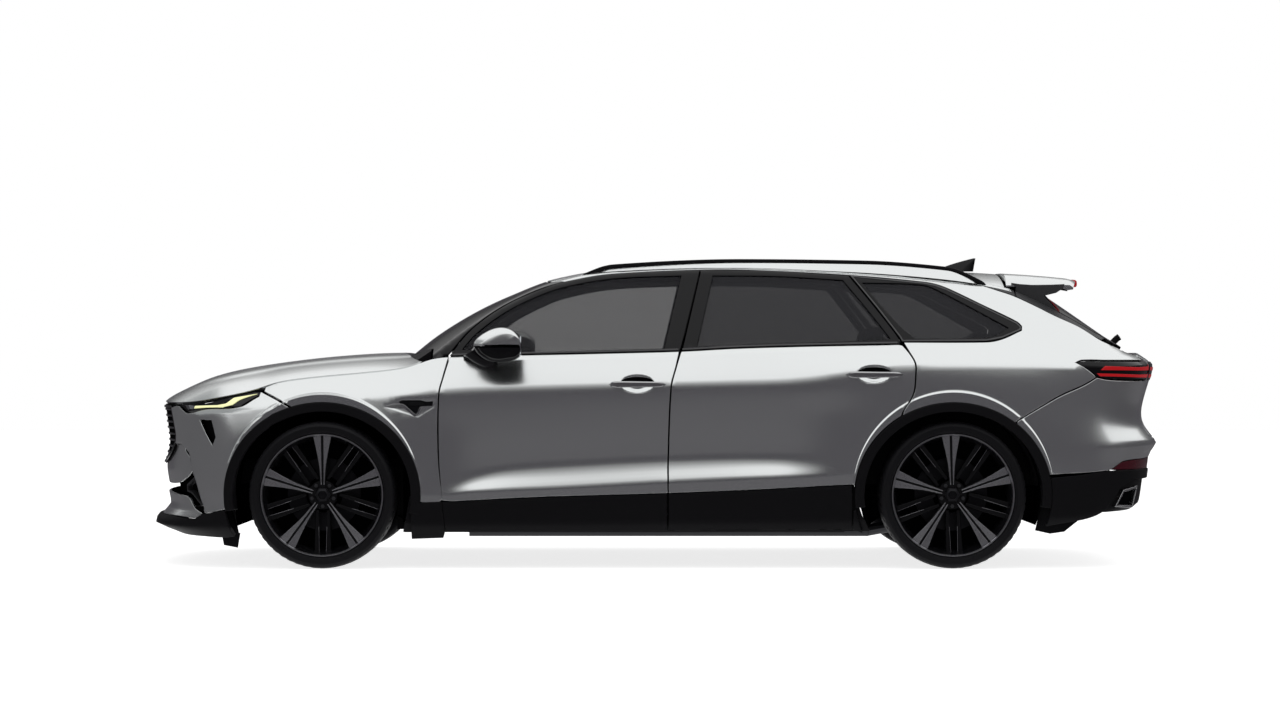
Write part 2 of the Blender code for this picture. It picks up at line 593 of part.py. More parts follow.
def build_doors(wall, cutters):
    """Four doors with their window frames; the openings are kept for the body sides."""
    near = body_wall(-0.05, WALL + SHUT_GAP, -0.05, TOP_WALL + SHUT_GAP, 0.152, 0.006)
    plans = {"front": (FRONT_DOOR, FRONT_WINDOW, FRONT_DOOR_AXIS_X),
             "rear": (REAR_DOOR, REAR_WINDOW, REAR_DOOR_AXIS_X)}
    for side_name, side in SIDES.items():
        for place, (outline, window, axis_x) in plans.items():
            door = common(copy_of(wall), side_prism(outline, side, 0.0, DOOR_DRAFT))
            common(door, door_limit(side, 0.0))
            cut(door, side_prism(window, side))
            if place == "rear":
                cut(door, wheel_well(REAR_AXLE_X, side, ARCH_RADIUS + MOULDING_WIDTH + SHUT_GAP))
            join(door, door_handle(side, *HANDLES[place]))
            part(door, f"{place}_door_{side_name}", PAINT, (axis_x, side * DOOR_AXIS_W, 0), smooth=True)
            rebate = common(copy_of(near), side_prism(outline, side, SHUT_GAP, DOOR_DRAFT))
            common(rebate, door_limit(side, SHUT_GAP))
            aperture = side_prism(outline, side, -APERTURE_FLANGE, 0.0)
            common(aperture, box((-2, -2, SILL_TOP), (2, 2, 2)))
            cutters[f"{place}_rebate_{side_name}"] = rebate
            cutters[f"{place}_aperture_{side_name}"] = aperture
    discard(near)


def build_glass():
    """Windows cut from one thin skin just under the outer surface."""
    skin = cabin_top(GLASS_INSET, GLASS_INSET + GLASS)
    for side_name, side in SIDES.items():
        for name, outline in (("front_door_glass", FRONT_WINDOW), ("rear_door_glass", REAR_WINDOW),
                              ("quarter_glass", QUARTER_WINDOW)):
            pane = common(copy_of(skin), side_prism(outline, side, -FIT_GAP))
            part(pane, f"{name}_{side_name}", GLASSY, smooth=True)
    screen = common(copy_of(skin), prism(mirrored_plan(WINDSCREEN_PLAN, -FIT_GAP), "z", 0.9, 1.6))
    part(screen, "windscreen", GLASSY, smooth=True)
    rear = common(skin, prism(mirrored_plan(TAILGATE_GLASS_PLAN, -FIT_GAP), "z", 0.9, 1.6))
    part(rear, "tailgate_glass", GLASSY, smooth=True)


def tailgate_zone(grow):
    half = [(0.0, 0.640), (TAILGATE_HALF_WIDTH - 0.100, 0.640), (TAILGATE_HALF_WIDTH - 0.025, 0.680),
            (TAILGATE_HALF_WIDTH, 0.760),
            (TAILGATE_HALF_WIDTH, 1.70), (0.0, 1.70)]
    outline = half + [(-y, z) for y, z in reversed(half[1:-1])]
    return prism(grown(outline, grow), "x", TAILGATE_AXIS[0] - grow, 2.8)


def build_tailgate(wall, cutters):
    gate = common(copy_of(wall), tailgate_zone(0.0))
    tip = TAILGATE_HALF_WIDTH - 0.005
    spoiler = loft([[(1.752, y, 1.4475 - c), (1.95, y, 1.4435 - c), (2.135 - b, y, 1.424 - c),
                     (2.130 - b, y, 1.400 - c), (1.96, y, 1.340 - c), (1.80, y, 1.370 - c)]
                    for y, b, c in ((-tip, 0.07, 0.030), (-0.75 * tip, 0.02, 0.010), (0, 0, 0),
                                    (0.75 * tip, 0.02, 0.010), (tip, 0.07, 0.030))])
    join(gate, spoiler)
    cut(gate, prism(mirrored_plan(TAILGATE_GLASS_PLAN), "z", 0.95, 1.358))
    x, z = TAILGATE_AXIS
    part(gate, "tailgate", PAINT, (x, 0, z), smooth=True)
    cutters["tailgate"] = tailgate_zone(SHUT_GAP)


def build_body(wall, cutters):
    """Body sides, roof, cowl, wings and bumpers: what the moving panels leave of the shells."""
    thick = body_wall(0.0, WALL + FRAME, 0.0, TOP_WALL + TOP_FRAME)
    for side_name, side in SIDES.items():
        half = copy_of(thick)
        low, high = sorted((side * (TAILGATE_HALF_WIDTH + FIT_GAP), side * 1.3))
        common(half, box((-1.100, low, 0.0), (2.8, high, 2.0)))
        for name in ("front", "rear"):
            cut(half, cutters[f"{name}_rebate_{side_name}"])
            cut(half, cutters[f"{name}_aperture_{side_name}"])
        for z in HINGE_LEVELS:
            for axis_x in (FRONT_DOOR_AXIS_X, REAR_DOOR_AXIS_X):
                low, high = sorted((side * 0.70, side * 1.0))
                pad = common(tub(WALL + FIT_GAP, WALL + FRAME - 0.010),
                             box((axis_x + 0.012, low, z - 0.031), (axis_x + 0.037, high, z + 0.031)))
                join(half, main_body(pad))
        cut(half, side_prism(WING_SIDE, side, FIT_GAP))
        cut(half, side_prism(REAR_BUMPER_SIDE, side, FIT_GAP))
        cut(half, side_prism(TAIL_LAMP_SIDE, side, FIT_GAP))
        cut(half, side_prism(QUARTER_WINDOW, side))
        cut(half, wheel_well(REAR_AXLE_X, side))
        cut(half, prism(mirrored_plan(WINDSCREEN_PLAN), "z", 0.9, 1.6))
        cut(half, cutters["tailgate"], keep=True)
        cut(half, cutters["bonnet"], keep=True)
        join(half, loft([[(x, side * 0.612, z - 0.055), (x, side * 0.640, z - 0.055),
                          (x, side * 0.636, z), (x, side * 0.616, z)] for x, z in ROOF_RAIL]))
        part(half, f"body_side_{side_name}", PAINT, smooth=True)
    discard(thick)

    roof = common(copy_of(wall), box((-0.70, -TAILGATE_HALF_WIDTH, 1.2), (1.738, TAILGATE_HALF_WIDTH, 2)))
    cut(roof, prism(mirrored_plan(WINDSCREEN_PLAN), "z", 0.9, 1.6))
    cut(roof, cutters["tailgate"], keep=True)
    under = common(cabin_top(-0.1, TOP_WALL + FIT_GAP), tailgate_zone(SHUT_GAP + 0.001))
    for side in SIDES.values():
        low, high = sorted((side * 0.30, side * 0.36))
        join(roof, cut(box((1.690, low, 1.365), (1.790, high, 1.425)), under, keep=True))
    discard(under)
    fin = [(1.480, 1.470), (1.560, 1.520), (1.652, 1.537), (1.640, 1.445)]
    fin = loft([[(x, share * 0.020 * (1 if z < 1.5 else 0.3), z) for x, z in fin] for share in (-1, 1)])
    join(roof, fin)
    part(roof, "roof", PAINT, smooth=True)

    cowl = common(copy_of(wall), box((-1.4, -0.7447, 0.86), (-1.1003, 0.7447, 1.3)))
    cut(cowl, prism(mirrored_plan(WINDSCREEN_PLAN), "z", 0.9, 1.6))
    cut(cowl, cutters["bonnet"], keep=True)
    seat = bonnet_solid(BONNET_SHRINK, 0.030 + FIT_GAP, 0.05)
    for side in SIDES.values():
        low, high = sorted((side * 0.640, side * 0.700))
        join(cowl, cut(box((-1.245, low, 0.955), (-1.210, high, 1.05)), seat, keep=True))
    discard(seat)
    part(cowl, "cowl", TRIM, smooth=True)


def build_ends(wall, cutters):
    """Front wings, bumpers and lamps, all from the tub's wall."""
    for side_name, side in SIDES.items():
        wing = common(copy_of(wall), side_prism(WING_SIDE, side, inner_w=0.745))
        cut(wing, side_prism(BUMPER_SIDE, side, FIT_GAP))
        cut(wing, side_prism(HEADLAMP_SIDE, side, FIT_GAP))
        cut(wing, wheel_well(FRONT_AXLE_X, side))
        cut(wing, cutters["bonnet"], keep=True)
        cut(wing, common(tub(-0.05, 0.022), side_prism(WING_VENT, side)))
        part(wing, f"front_wing_{side_name}", PAINT, smooth=True)
        lamp = common(copy_of(wall), side_prism(HEADLAMP_SIDE, side, inner_w=LAMP_INNER_W))
        join(lamp, raised(LAMP_STRIP, side, 0.002, LAMP_INNER_W + 0.1))
        cut(lamp, cutters["bonnet"], keep=True)
        part(lamp, f"headlamp_{side_name}", LAMP, smooth=True)
        lamp = common(copy_of(wall), side_prism(TAIL_LAMP_SIDE, side,
                                                inner_w=TAILGATE_HALF_WIDTH + SHUT_GAP))
        for bar in TAIL_BARS:
            join(lamp, raised(bar, side, 0.002, TAILGATE_HALF_WIDTH + 0.03))
        part(lamp, f"tail_lamp_{side_name}", RED_LAMP, smooth=True)

    front = common(copy_of(wall), prism(BUMPER_SIDE, "y", -1.3, 1.3))
    for side in SIDES.values():
        cut(front, side_prism(HEADLAMP_SIDE, side, FIT_GAP, inner_w=LAMP_INNER_W - FIT_GAP))
        cut(front, wheel_well(FRONT_AXLE_X, side))
    cut(front, cutters["bonnet"], keep=True)
    nose = [(0.0, 0.500), (0.340, 0.500), (0.470, 0.620), (0.500, 0.760), (0.0, 0.775)]
    opening = nose + [(-y, z) for y, z in reversed(nose[1:-1])]
    intake = LOWER_INTAKE + [(-y, z) for y, z in reversed(LOWER_INTAKE[1:-1])]
    cut(front, prism(opening, "x", -2.7, -2.2))
    cut(front, common(tub(-0.05, 0.045), prism(intake, "x", -2.8, -2.0)))
    for side in SIDES.values():
        cut(front, common(tub(-0.06, 0.040), side_prism(NOSTRIL, side)))
    part(front, "front_bumper", PAINT, smooth=True)

    plate = common(tub(0.018, 0.045), prism(grown(opening, -FIT_GAP), "x", -2.7, -2.2))
    for z in GRILLE_BARS:
        bar = common(tub(0.005, 0.030), prism(grown(opening, -0.004), "x", -2.7, -2.2))
        join(plate, common(bar, box((-2.8, -0.6, z - 0.006), (-2.2, 0.6, z + 0.006))))
    part(plate, "grille", TRIM, smooth=True)

    rear = common(copy_of(wall), prism(REAR_BUMPER_SIDE, "y", -1.3, 1.3))
    for side in SIDES.values():
        cut(rear, side_prism(TAIL_LAMP_SIDE, side, FIT_GAP))
        cut(rear, wheel_well(REAR_AXLE_X, side))
        tip = [[(x, side * w, z + lean) for w, z in ((0.520, 0.300), (0.540, 0.385), (0.690, 0.390), (0.700, 0.330))]
               for x, lean in ((2.360, 0.0), (2.495, -0.004))]
        join(rear, loft(tip))
        bore = [[(x, side * w, z) for w, z in ((0.532, 0.308), (0.549, 0.374), (0.680, 0.379), (0.688, 0.332))]
                for x in (2.440, 2.560)]
        cut(rear, loft(bore))
    cut(rear, box((1.0, -1.3, 0.0), (REAR_AXLE_X, 1.3, 0.8)))
    cut(rear, cutters["tailgate"], keep=True)
    part(rear, "rear_bumper", PAINT, smooth=True)


# ---------------------------------------------------------------- wheels
def turned(profile, steps, turn=0.0):
    """Turn a closed profile of radius, y round the Y axis with a Screw modifier."""
    mesh = bpy.data.meshes.new("profile")
    count = len(profile)
    mesh.from_pydata([(radius, 0, y) for radius, y in profile],
                     [(i, (i + 1) % count) for i in range(count)], [])
    thing = bpy.data.objects.new("turned", mesh)
    CUTTERS.objects.link(thing)
    screw = thing.modifiers.new("turn", "SCREW")
    screw.steps = screw.render_steps = steps
    screw.use_merge_vertices = True
    screw.merge_threshold = 0.00001
    bpy.context.view_layer.update()
    solid = bpy.data.meshes.new_from_object(thing.evaluated_get(bpy.context.evaluated_depsgraph_get()))
    discard(thing)
    bm = bmesh.new()
    bm.from_mesh(solid)
    bm.transform(Matrix.Rotation(turn, 4, "Y") @ Matrix.Rotation(math.radians(-90), 4, "X"))
    return object_from(bm)


def rim_solid():
    """A wheel for the left side, outside towards -Y: barrel, paired spokes, hub and brake disc."""
    outer, half = RIM_DIAMETER / 2, TYRE_WIDTH / 2
    barrel = turned([(outer + 0.004, -half + 0.006), (outer - 0.018, -half + 0.006),
                     (outer - 0.032, -half + 0.050), (outer - 0.032, half - 0.010),
                     (outer - 0.014, half - 0.010), (outer - 0.016, -half + 0.034)], 32)
    hub = turned([(0.030, -0.098), (0.084, -0.094), (0.088, -0.006), (0.195, -0.006),
                  (0.195, 0.026), (0.078, RIM_HUB_BACK), (0.030, RIM_HUB_BACK)], 16)
    join(barrel, hub)
    for pair in range(RIM_SPOKE_PAIRS):
        for lean in (-1, 1):
            angle = math.radians(90 + 360 / RIM_SPOKE_PAIRS * pair)
            sections = []
            for radius, offset, width, face, depth in ((0.062, 0.028, 0.030, -0.0865, 0.040),
                                                       (outer - 0.033, 0.062, 0.044, -0.118, 0.040)):
                loop = []
                for across, y in ((-0.5, face), (0.5, face), (0.35, face + depth), (-0.35, face + depth)):
                    shift = lean * offset + across * width
                    loop.append((radius * math.cos(angle) - shift * math.sin(angle), y,
                                 radius * math.sin(angle) + shift * math.cos(angle)))
                sections.append(loop)
            join(barrel, loft(sections))
    return barrel


def tyre_solid():
    outer, inner, half = TYRE_DIAMETER / 2, RIM_DIAMETER / 2, TYRE_WIDTH / 2
    gap = 2 * FIT_GAP
    return turned([(outer, -0.098), (outer, 0.098), (outer - 0.018, half - 0.005),
                   (outer - 0.040, half), (inner - 0.002, half - 0.012), (inner - 0.014 + gap, half - 0.012),
                   (inner - 0.016 + gap, -half + 0.034 + gap), (inner + 0.004 + gap, -half + 0.006 + gap),
                   (outer - 0.040, -half), (outer - 0.018, -half + 0.005)], 32)


def build_wheels():
    rim, tyre = rim_solid(), tyre_solid()
    for end, axle_x in (("front", FRONT_AXLE_X), ("rear", REAR_AXLE_X)):
        for side_name, side in SIDES.items():
            place = (axle_x, side * TRACK / 2, TYRE_DIAMETER / 2)
            for name, solid, finish in (("rim", rim, ALLOY), ("tyre", tyre, TYRE)):
                wheel = part(copy_of(solid), f"{end}_{name}_{side_name}", finish, smooth=True)
                wheel.location = place
                wheel.rotation_euler = (0, 0, 0 if side < 0 else math.pi)
    discard(rim, tyre)


def build_knuckles():
    """Front uprights with spindle, ball pads and brake caliper."""
    wheel_w, axle_z = TRACK / 2, TYRE_DIAMETER / 2
    face = wheel_w - RIM_HUB_BACK - FIT_GAP
    for side_name, side in SIDES.items():
        upright = box((FRONT_AXLE_X - UPRIGHT_HALF, -UPRIGHT_HALF, axle_z - KNUCKLE_HALF_HEIGHT),
                      (FRONT_AXLE_X + UPRIGHT_HALF, UPRIGHT_HALF, axle_z + KNUCKLE_HALF_HEIGHT))
        upright.data.transform(Matrix.Translation((0, side * KINGPIN_W, 0)))
        join(upright, rod((FRONT_AXLE_X, side * (KINGPIN_W - 0.02), axle_z),
                          (FRONT_AXLE_X, side * face, axle_z), 0.060, 16))
        part(upright, f"front_knuckle_{side_name}", STEEL, (FRONT_AXLE_X, side * KINGPIN_W, axle_z))


# ---------------------------------------------------------------- structure under the skin
def build_structure():
    """Floor pan with firewall and rails, subframe, rear axle, engine and exhaust."""
    axle_z = TYRE_DIAMETER / 2
    floor = box((FIREWALL_X, -1.0, FLOOR_LOW), (0.930, 1.0, FLOOR_TOP))
    join(floor, box((FIREWALL_X, -0.744, FLOOR_LOW + 0.01), (FIREWALL_X + 0.030, 0.744, 1.15)))
    join(floor, box((0.900, -1.0, FLOOR_LOW + 0.01), (0.930, 1.0, DECK_TOP - 0.01)))
    join(floor, box((0.900, -1.0, DECK_LOW), (2.30, 1.0, DECK_TOP)))
    for side in SIDES.values():
        housing = rod((REAR_AXLE_X, side * REAR_WELL_W, axle_z), (REAR_AXLE_X, side * 0.97, axle_z),
                      ARCH_RADIUS + 0.010 + WELL_WALL, 36)
        join(floor, common(housing, box((0.95, -1.1, DECK_LOW + 0.007), (2.29, 1.1, 1.0))))
        low, high = sorted((side * WELL_INNER_W, side * 0.95))
        toe_x, shelf_z = FRONT_AXLE_X + WELL_RADIUS - 0.005, axle_z + WELL_RADIUS - 0.005
        join(floor, box((toe_x, low, FLOOR_LOW + 0.01), (toe_x + WELL_WALL, high, shelf_z + WELL_WALL)))
        low, high = sorted((side * (WELL_INNER_W + 0.002), side * 0.93))
        join(floor, box((FIREWALL_X + 0.002, low, shelf_z), (toe_x + 0.01, high, shelf_z + WELL_WALL - 0.001)))
        cut(floor, wheel_well(FRONT_AXLE_X, side))
        cut(floor, wheel_well(REAR_AXLE_X, side, ARCH_RADIUS + 0.010, REAR_WELL_W + WELL_WALL))
        low, high = sorted((side * 0.40, side * 0.48))
        join(floor, box((-2.45, low, RAIL_LOW), (FIREWALL_X + 0.01, high, RAIL_LOW + 0.120)))
    cut(floor, tub(-0.10, WALL + FRAME + FIT_GAP))
    cut(floor, cabin_top(-0.25, TOP_WALL + FIT_GAP))
    part(floor, "floor_pan", TRIM)

    pin_low = axle_z - KNUCKLE_HALF_HEIGHT - FIT_GAP
    frame = box((FRONT_AXLE_X - 0.12, -0.44, pin_low - 0.050), (FRONT_AXLE_X + 0.12, 0.44, pin_low - 0.010))
    for side in SIDES.values():
        low, high = sorted((side * 0.30, side * (KINGPIN_W + 0.03)))
        join(frame, box((FRONT_AXLE_X - 0.040, low, pin_low - 0.040), (FRONT_AXLE_X + 0.040, high, pin_low)))
        low, high = sorted((side * 0.40, side * 0.47))
        join(frame, box((FRONT_AXLE_X - 0.10, low, pin_low - 0.02),
                        (FRONT_AXLE_X + 0.10, high, RAIL_LOW - FIT_GAP)))
    part(frame, "front_subframe", STEEL)

    face = TRACK / 2 - RIM_HUB_BACK - FIT_GAP
    axle = rod((REAR_AXLE_X, -face, axle_z), (REAR_AXLE_X, face, axle_z), 0.035, 16)
    join(axle, box((REAR_AXLE_X - 0.14, -0.14, axle_z - 0.11),
                   (REAR_AXLE_X + 0.14, 0.14, DECK_LOW - FIT_GAP)))
    part(axle, "rear_axle", STEEL)

    part(box((-1.980, -0.280, pin_low - 0.010 + FIT_GAP), (-1.360, 0.280, 0.780)), "engine_block", STEEL)

    pipe = box((1.880, -0.480, 0.235), (2.180, 0.480, DECK_LOW - FIT_GAP))
    join(pipe, rod((-0.95, 0.0, FLOOR_LOW - 0.031), (1.10, 0.0, FLOOR_LOW - 0.031), 0.030))
    join(pipe, rod((1.092, 0.0, FLOOR_LOW - 0.031), (1.90, 0.25, 0.270), 0.030))
    for side in SIDES.values():
        join(pipe, rod((2.17, side * 0.42, 0.330), (2.34, side * 0.58, 0.340), 0.028))
    cut(pipe, tub(-0.1, WALL + FIT_GAP))
    part(pipe, "exhaust", STEEL)


# ---------------------------------------------------------------- cabin and mirrors
def cushion(points, low_w, high_w, crown=0.012):
    """A padded block: a side outline in x, z carried across, a little fuller in the middle."""
    middle_x = sum(x for x, z in points) / len(points)
    middle_z = sum(z for x, z in points) / len(points)
    loops = []
    for share in (0.0, 0.12, 0.5, 0.88, 1.0):
        swell = 1 - (0.10 if share in (0.0, 1.0) else 0.0)
        loops.append([(middle_x + (x - middle_x) * swell, low_w + (high_w - low_w) * share,
                       max(middle_z + (z - middle_z) * swell, points[0][1])) for x, z in points])
    return loft(loops)


def build_cabin():
    base = FLOOR_TOP + FIT_GAP
    for side_name, side in SIDES.items():
        low, high = sorted((side * 0.12, side * 0.64))
        seat = cushion([(-0.66, base), (-0.16, base), (-0.10, 0.470), (-0.66, 0.530), (-0.70, 0.470)], low, high)
        join(seat, cushion([(-0.24, 0.30), (-0.06, 0.32), (0.13, 1.02), (0.02, 1.03), (-0.20, 0.56)], low, high))
        middle = (low + high) / 2
        join(seat, cushion([(0.025, 0.98), (0.115, 0.98), (0.160, 1.21), (0.075, 1.22)], middle - 0.12, middle + 0.12))
        part(seat, f"front_seat_{side_name}", HIDE, smooth=True)
    bench = cushion([(0.44, base), (0.8995, base), (0.8995, 0.500), (0.44, 0.560), (0.40, 0.500)], -0.62, 0.62)
    join(bench, cushion([(0.84, DECK_TOP + FIT_GAP), (1.04, DECK_TOP + FIT_GAP), (1.14, 1.04), (1.03, 1.05),
                         (0.86, 0.56)], -0.62, 0.62))
    for middle in (-0.38, 0.38):
        join(bench, cushion([(1.035, 1.00), (1.125, 1.00), (1.165, 1.19), (1.085, 1.20)],
                            middle - 0.12, middle + 0.12))
    part(bench, "rear_bench", HIDE, smooth=True)

    edge = FIREWALL_X + 0.030 + FIT_GAP
    shelf_x, shelf_z = FRONT_AXLE_X + WELL_RADIUS + WELL_WALL, TYRE_DIAMETER / 2 + WELL_RADIUS + WELL_WALL
    dash = loft([[(shelf_x + FIT_GAP, y, 0.66), (-0.90, y, 0.62), (-0.76, y, 0.74), (-0.74, y, 0.90),
                  (-0.86, y, 0.950), (-1.05, y, 0.945), (edge, y, 0.880), (edge, y, shelf_z + FIT_GAP),
                  (shelf_x + FIT_GAP, y, shelf_z + FIT_GAP)] for y in (-0.735, -0.30, 0.30, 0.735)])
    cut(dash, tub(-0.1, WALL + FRAME + FIT_GAP))
    join(dash, box((-1.05, -0.105, FLOOR_TOP + FIT_GAP), (-0.12, 0.105, 0.40)))
    join(dash, box((-1.05, -0.100, FLOOR_TOP + 0.05), (-0.80, 0.100, 0.75)))
    part(dash, "dashboard", TRIM, smooth=True)

    tilt, centre = math.radians(66), Vector((-0.570, -0.38, 0.900))
    bpy.ops.mesh.primitive_torus_add(major_segments=20, minor_segments=6, major_radius=0.178,
                                     minor_radius=0.016)
    ring = bpy.context.object
    wheel = bmesh.new()
    wheel.from_mesh(ring.data)
    discard(ring)
    wheel = object_from(wheel)
    join(wheel, rod((0, 0, -0.030), (0, 0, 0.012), 0.055, 10))
    for low, high in (((-0.170, -0.018, -0.010), (0.170, 0.018, 0.006)), ((-0.018, -0.170, -0.010), (0.018, 0.0, 0.006))):
        join(wheel, box(low, high))
    join(wheel, rod((0, 0, -0.220), (0, 0, -0.020), 0.028, 10))
    wheel.data.transform(Matrix.Translation(centre) @ Matrix.Rotation(tilt, 4, "Y") @ Matrix.Rotation(
        math.radians(-90), 4, "Z"))
    cut(wheel, bpy.data.objects["dashboard"], keep=True)
    wheel.data.transform(Matrix.Translation((FIT_GAP, 0, 0)))
    part(wheel, "steering_wheel", TRIM, smooth=True)


def build_mirrors():
    for side_name, side in SIDES.items():
        head = []
        for w, swell in ((0.950, 0.80), (0.985, 1.0), (1.075, 1.0), (1.115, 0.78)):
            head.append([(-0.765 + dx * swell, side * w, 1.100 + dz * swell)
                         for dx, dz in ((-0.118, -0.010), (-0.095, 0.045), (-0.020, 0.074), (0.085, 0.066),
                                        (0.115, 0.020), (0.105, -0.058), (-0.030, -0.070))])
        mirror = loft(head)
        join(mirror, loft([[(-0.900 + 0.02 * t, side * w, 0.985 + 0.06 * t), (-0.800 + 0.02 * t, side * w, 0.985 + 0.06 * t),
                            (-0.800 + 0.02 * t, side * w, 1.020 + 0.06 * t), (-0.885 + 0.02 * t, side * w, 1.020 + 0.06 * t)]
                           for w, t in ((0.830, -0.25), (0.975, 1.0))]))
        cut(mirror, body_wall(-FIT_GAP, WALL, -FIT_GAP, TOP_WALL))
        low, high = sorted((side * 0.86, side * 1.3))
        common(mirror, box((-1.2, low, 0.8), (-0.4, high, 1.3)))
        part(mirror, f"mirror_{side_name}", PAINT, smooth=True)


def main():
    clear_scene()
    cutters = {}
    wall = body_wall(0.0, WALL, 0.0, TOP_WALL)
    build_bonnet(cutters)
    build_doors(wall, cutters)
    build_tailgate(wall, cutters)
    build_body(wall, cutters)
    build_ends(wall, cutters)
    build_glass()
    build_wheels()
    build_knuckles()
    build_structure()
    build_cabin()
    build_mirrors()
    discard(wall, cutters["bonnet"], cutters["tailgate"])


PARTS = new_collection("shooting_brake")
CUTTERS = new_collection("cutters")
main()
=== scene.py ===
import math

import bmesh
import bpy
import numpy as np
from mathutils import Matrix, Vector
from mathutils.bvhtree import BVHTree
from mathutils.geometry import delaunay_2d_cdt


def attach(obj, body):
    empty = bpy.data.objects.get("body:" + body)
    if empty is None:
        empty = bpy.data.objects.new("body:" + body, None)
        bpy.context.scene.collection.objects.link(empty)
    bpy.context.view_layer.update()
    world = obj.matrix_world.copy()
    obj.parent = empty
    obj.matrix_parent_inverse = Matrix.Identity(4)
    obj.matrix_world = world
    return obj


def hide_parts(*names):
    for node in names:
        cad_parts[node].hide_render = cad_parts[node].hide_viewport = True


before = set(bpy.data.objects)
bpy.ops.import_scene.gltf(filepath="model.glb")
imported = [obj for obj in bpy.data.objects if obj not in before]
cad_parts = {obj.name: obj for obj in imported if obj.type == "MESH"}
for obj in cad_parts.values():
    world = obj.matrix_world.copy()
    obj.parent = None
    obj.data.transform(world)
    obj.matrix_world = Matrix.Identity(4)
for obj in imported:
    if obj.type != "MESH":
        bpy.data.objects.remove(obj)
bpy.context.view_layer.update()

# ---------------------------------------------------------------- sizes, as in the CAD (metres)
FRONT_AXLE_X, REAR_AXLE_X, TRACK = -1.618, 1.448, 1.665
AXLES = {"front": FRONT_AXLE_X, "rear": REAR_AXLE_X}
AXLE_Z = 0.358                          # the tyre's radius
ARCH_FLARE, FLARE_REACH = 0.032, 0.50   # how far an arch stands out, and over what length it fades
NOSE_X, TAIL_X = -2.535, 2.535
GAP = 0.006                             # between a door and what it shuts against
FRONT_ARC_END, REAR_ARC_START = -1.86, 2.00
FRONT_ROUNDNESS, REAR_ROUNDNESS = 2.6, 3.0
SIDES = {"left": -1, "right": 1}

TUB_ROWS = {
    "under": [(-2.390, 0.160, .86), (-2.190, 0.130, .88), (-1.900, 0.128, .90), (-1.050, 0.144, .90),
              (0.060, 0.151, .90), (0.950, 0.159, .90), (1.850, 0.168, .90), (2.250, 0.205, .88),
              (2.350, 0.235, .86)],
    "lip": [(NOSE_X, 0.208, .93), (-2.200, 0.200, .945), (-1.900, 0.205, .945), (-1.050, 0.215, .942),
            (0.950, 0.235, .942), (1.900, 0.250, .942), (2.460, 0.300, .92)],
    "cladding": [(-2.457, 0.300, .935), (-2.190, 0.295, .950), (-1.093, 0.321, .950),
                 (-0.573, 0.346, .950), (0.061, 0.365, .950), (0.507, 0.383, .950),
                 (0.966, 0.407, .950), (1.920, 0.439, .950), (2.227, 0.476, .945), (2.490, 0.500, .93)],
    "low_crease": [(-2.475, 0.385, .935), (-1.900, 0.375, .955), (-1.030, 0.358, .952),
                   (-0.894, 0.375, .955), (-0.466, 0.392, .957), (0.063, 0.421, .957),
                   (0.507, 0.442, .957), (0.723, 0.450, .955), (0.950, 0.460, .953),
                   (1.900, 0.500, .950), (2.250, 0.530, .945), (2.495, 0.550, .93)],
    "scallop": [(-2.490, 0.490, .93), (-1.900, 0.460, .950), (-1.030, 0.430, .945),
                (-0.850, 0.467, .925), (-0.734, 0.490, .921), (-0.467, 0.510, .921),
                (0.063, 0.537, .921), (0.428, 0.546, .922), (0.603, 0.545, .924),
                (0.750, 0.540, .935), (0.950, 0.550, .950), (1.900, 0.580, .948),
                (2.250, 0.600, .945), (TAIL_X, 0.605, .93)],
    "middle": [(-2.467, 0.600, .925), (-1.900, 0.640, .940), (-1.050, 0.660, .940),
               (0.000, 0.700, .942), (0.900, 0.740, .945), (1.900, 0.760, .938), (2.455, 0.740, .90)],
    "shoulder": [(-2.478, 0.700, .915), (-2.000, 0.780, .920), (-1.336, 0.840, .925),
                 (-1.030, 0.856, .948), (0.063, 0.888, .955), (0.549, 0.898, .957),
                 (0.723, 0.909, .957), (0.918, 0.944, .957), (1.135, 0.984, .952),
                 (1.267, 0.993, .948), (2.032, 1.002, .915), (2.520, 0.990, .87)],
    "belt": [(-2.494, 0.797, .870), (-2.320, 0.802, .862), (-2.100, 0.835, .856),
             (-1.940, 0.872, .850), (-1.850, 0.905, .846), (-1.652, 0.932, .846),
             (-1.422, 0.953, .850), (-1.232, 0.975, .860), (-1.050, 1.030, .872),
             (-0.899, 1.035, .880), (-0.253, 1.049, .885), (0.127, 1.059, .885),
             (0.415, 1.074, .885), (0.912, 1.087, .880), (1.200, 1.092, .870),
             (1.624, 1.099, .845), (2.000, 1.095, .805), (2.250, 1.085, .765), (2.400, 1.078, .72)],
}
ROW_FLARE = {"under": .3, "lip": .6, "cladding": .8, "low_crease": .9, "scallop": 1.0, "middle": 1.0,
             "shoulder": .45, "belt": 0.0}
# how sharp the fold along each row is
ROW_FOLD = {"under": 1.0, "lip": 0.7, "cladding": 1.0, "low_crease": 0.9, "scallop": 0.35, "middle": 0.0,
            "shoulder": 0.75, "belt": 1.0}
TOP_SECTIONS = [
    (-1.330, 0.930, .840, .845, 0.955), (-1.241, 0.960, .838, .850, 1.030),
    (-1.102, 1.035, .835, .858, 1.144), (-0.891, 1.190, .782, .868, 1.272),
    (-0.730, 1.293, .752, .872, 1.346), (-0.500, 1.394, .728, .874, 1.430),
    (-0.204, 1.450, .714, .876, 1.476), (0.330, 1.470, .710, .876, 1.489),
    (0.956, 1.444, .704, .870, 1.484), (1.400, 1.407, .692, .853, 1.470),
    (1.745, 1.352, .670, .826, 1.455), (1.870, 1.300, .664, .812, 1.420),
    (2.030, 1.222, .658, .790, 1.318), (2.330, 1.060, .650, .740, 1.100),
]
B_LINE = [(0.100, 0.980), (0.076, 0.884), (0.061, 0.514), (0.061, 0.425)]      # where the two doors meet
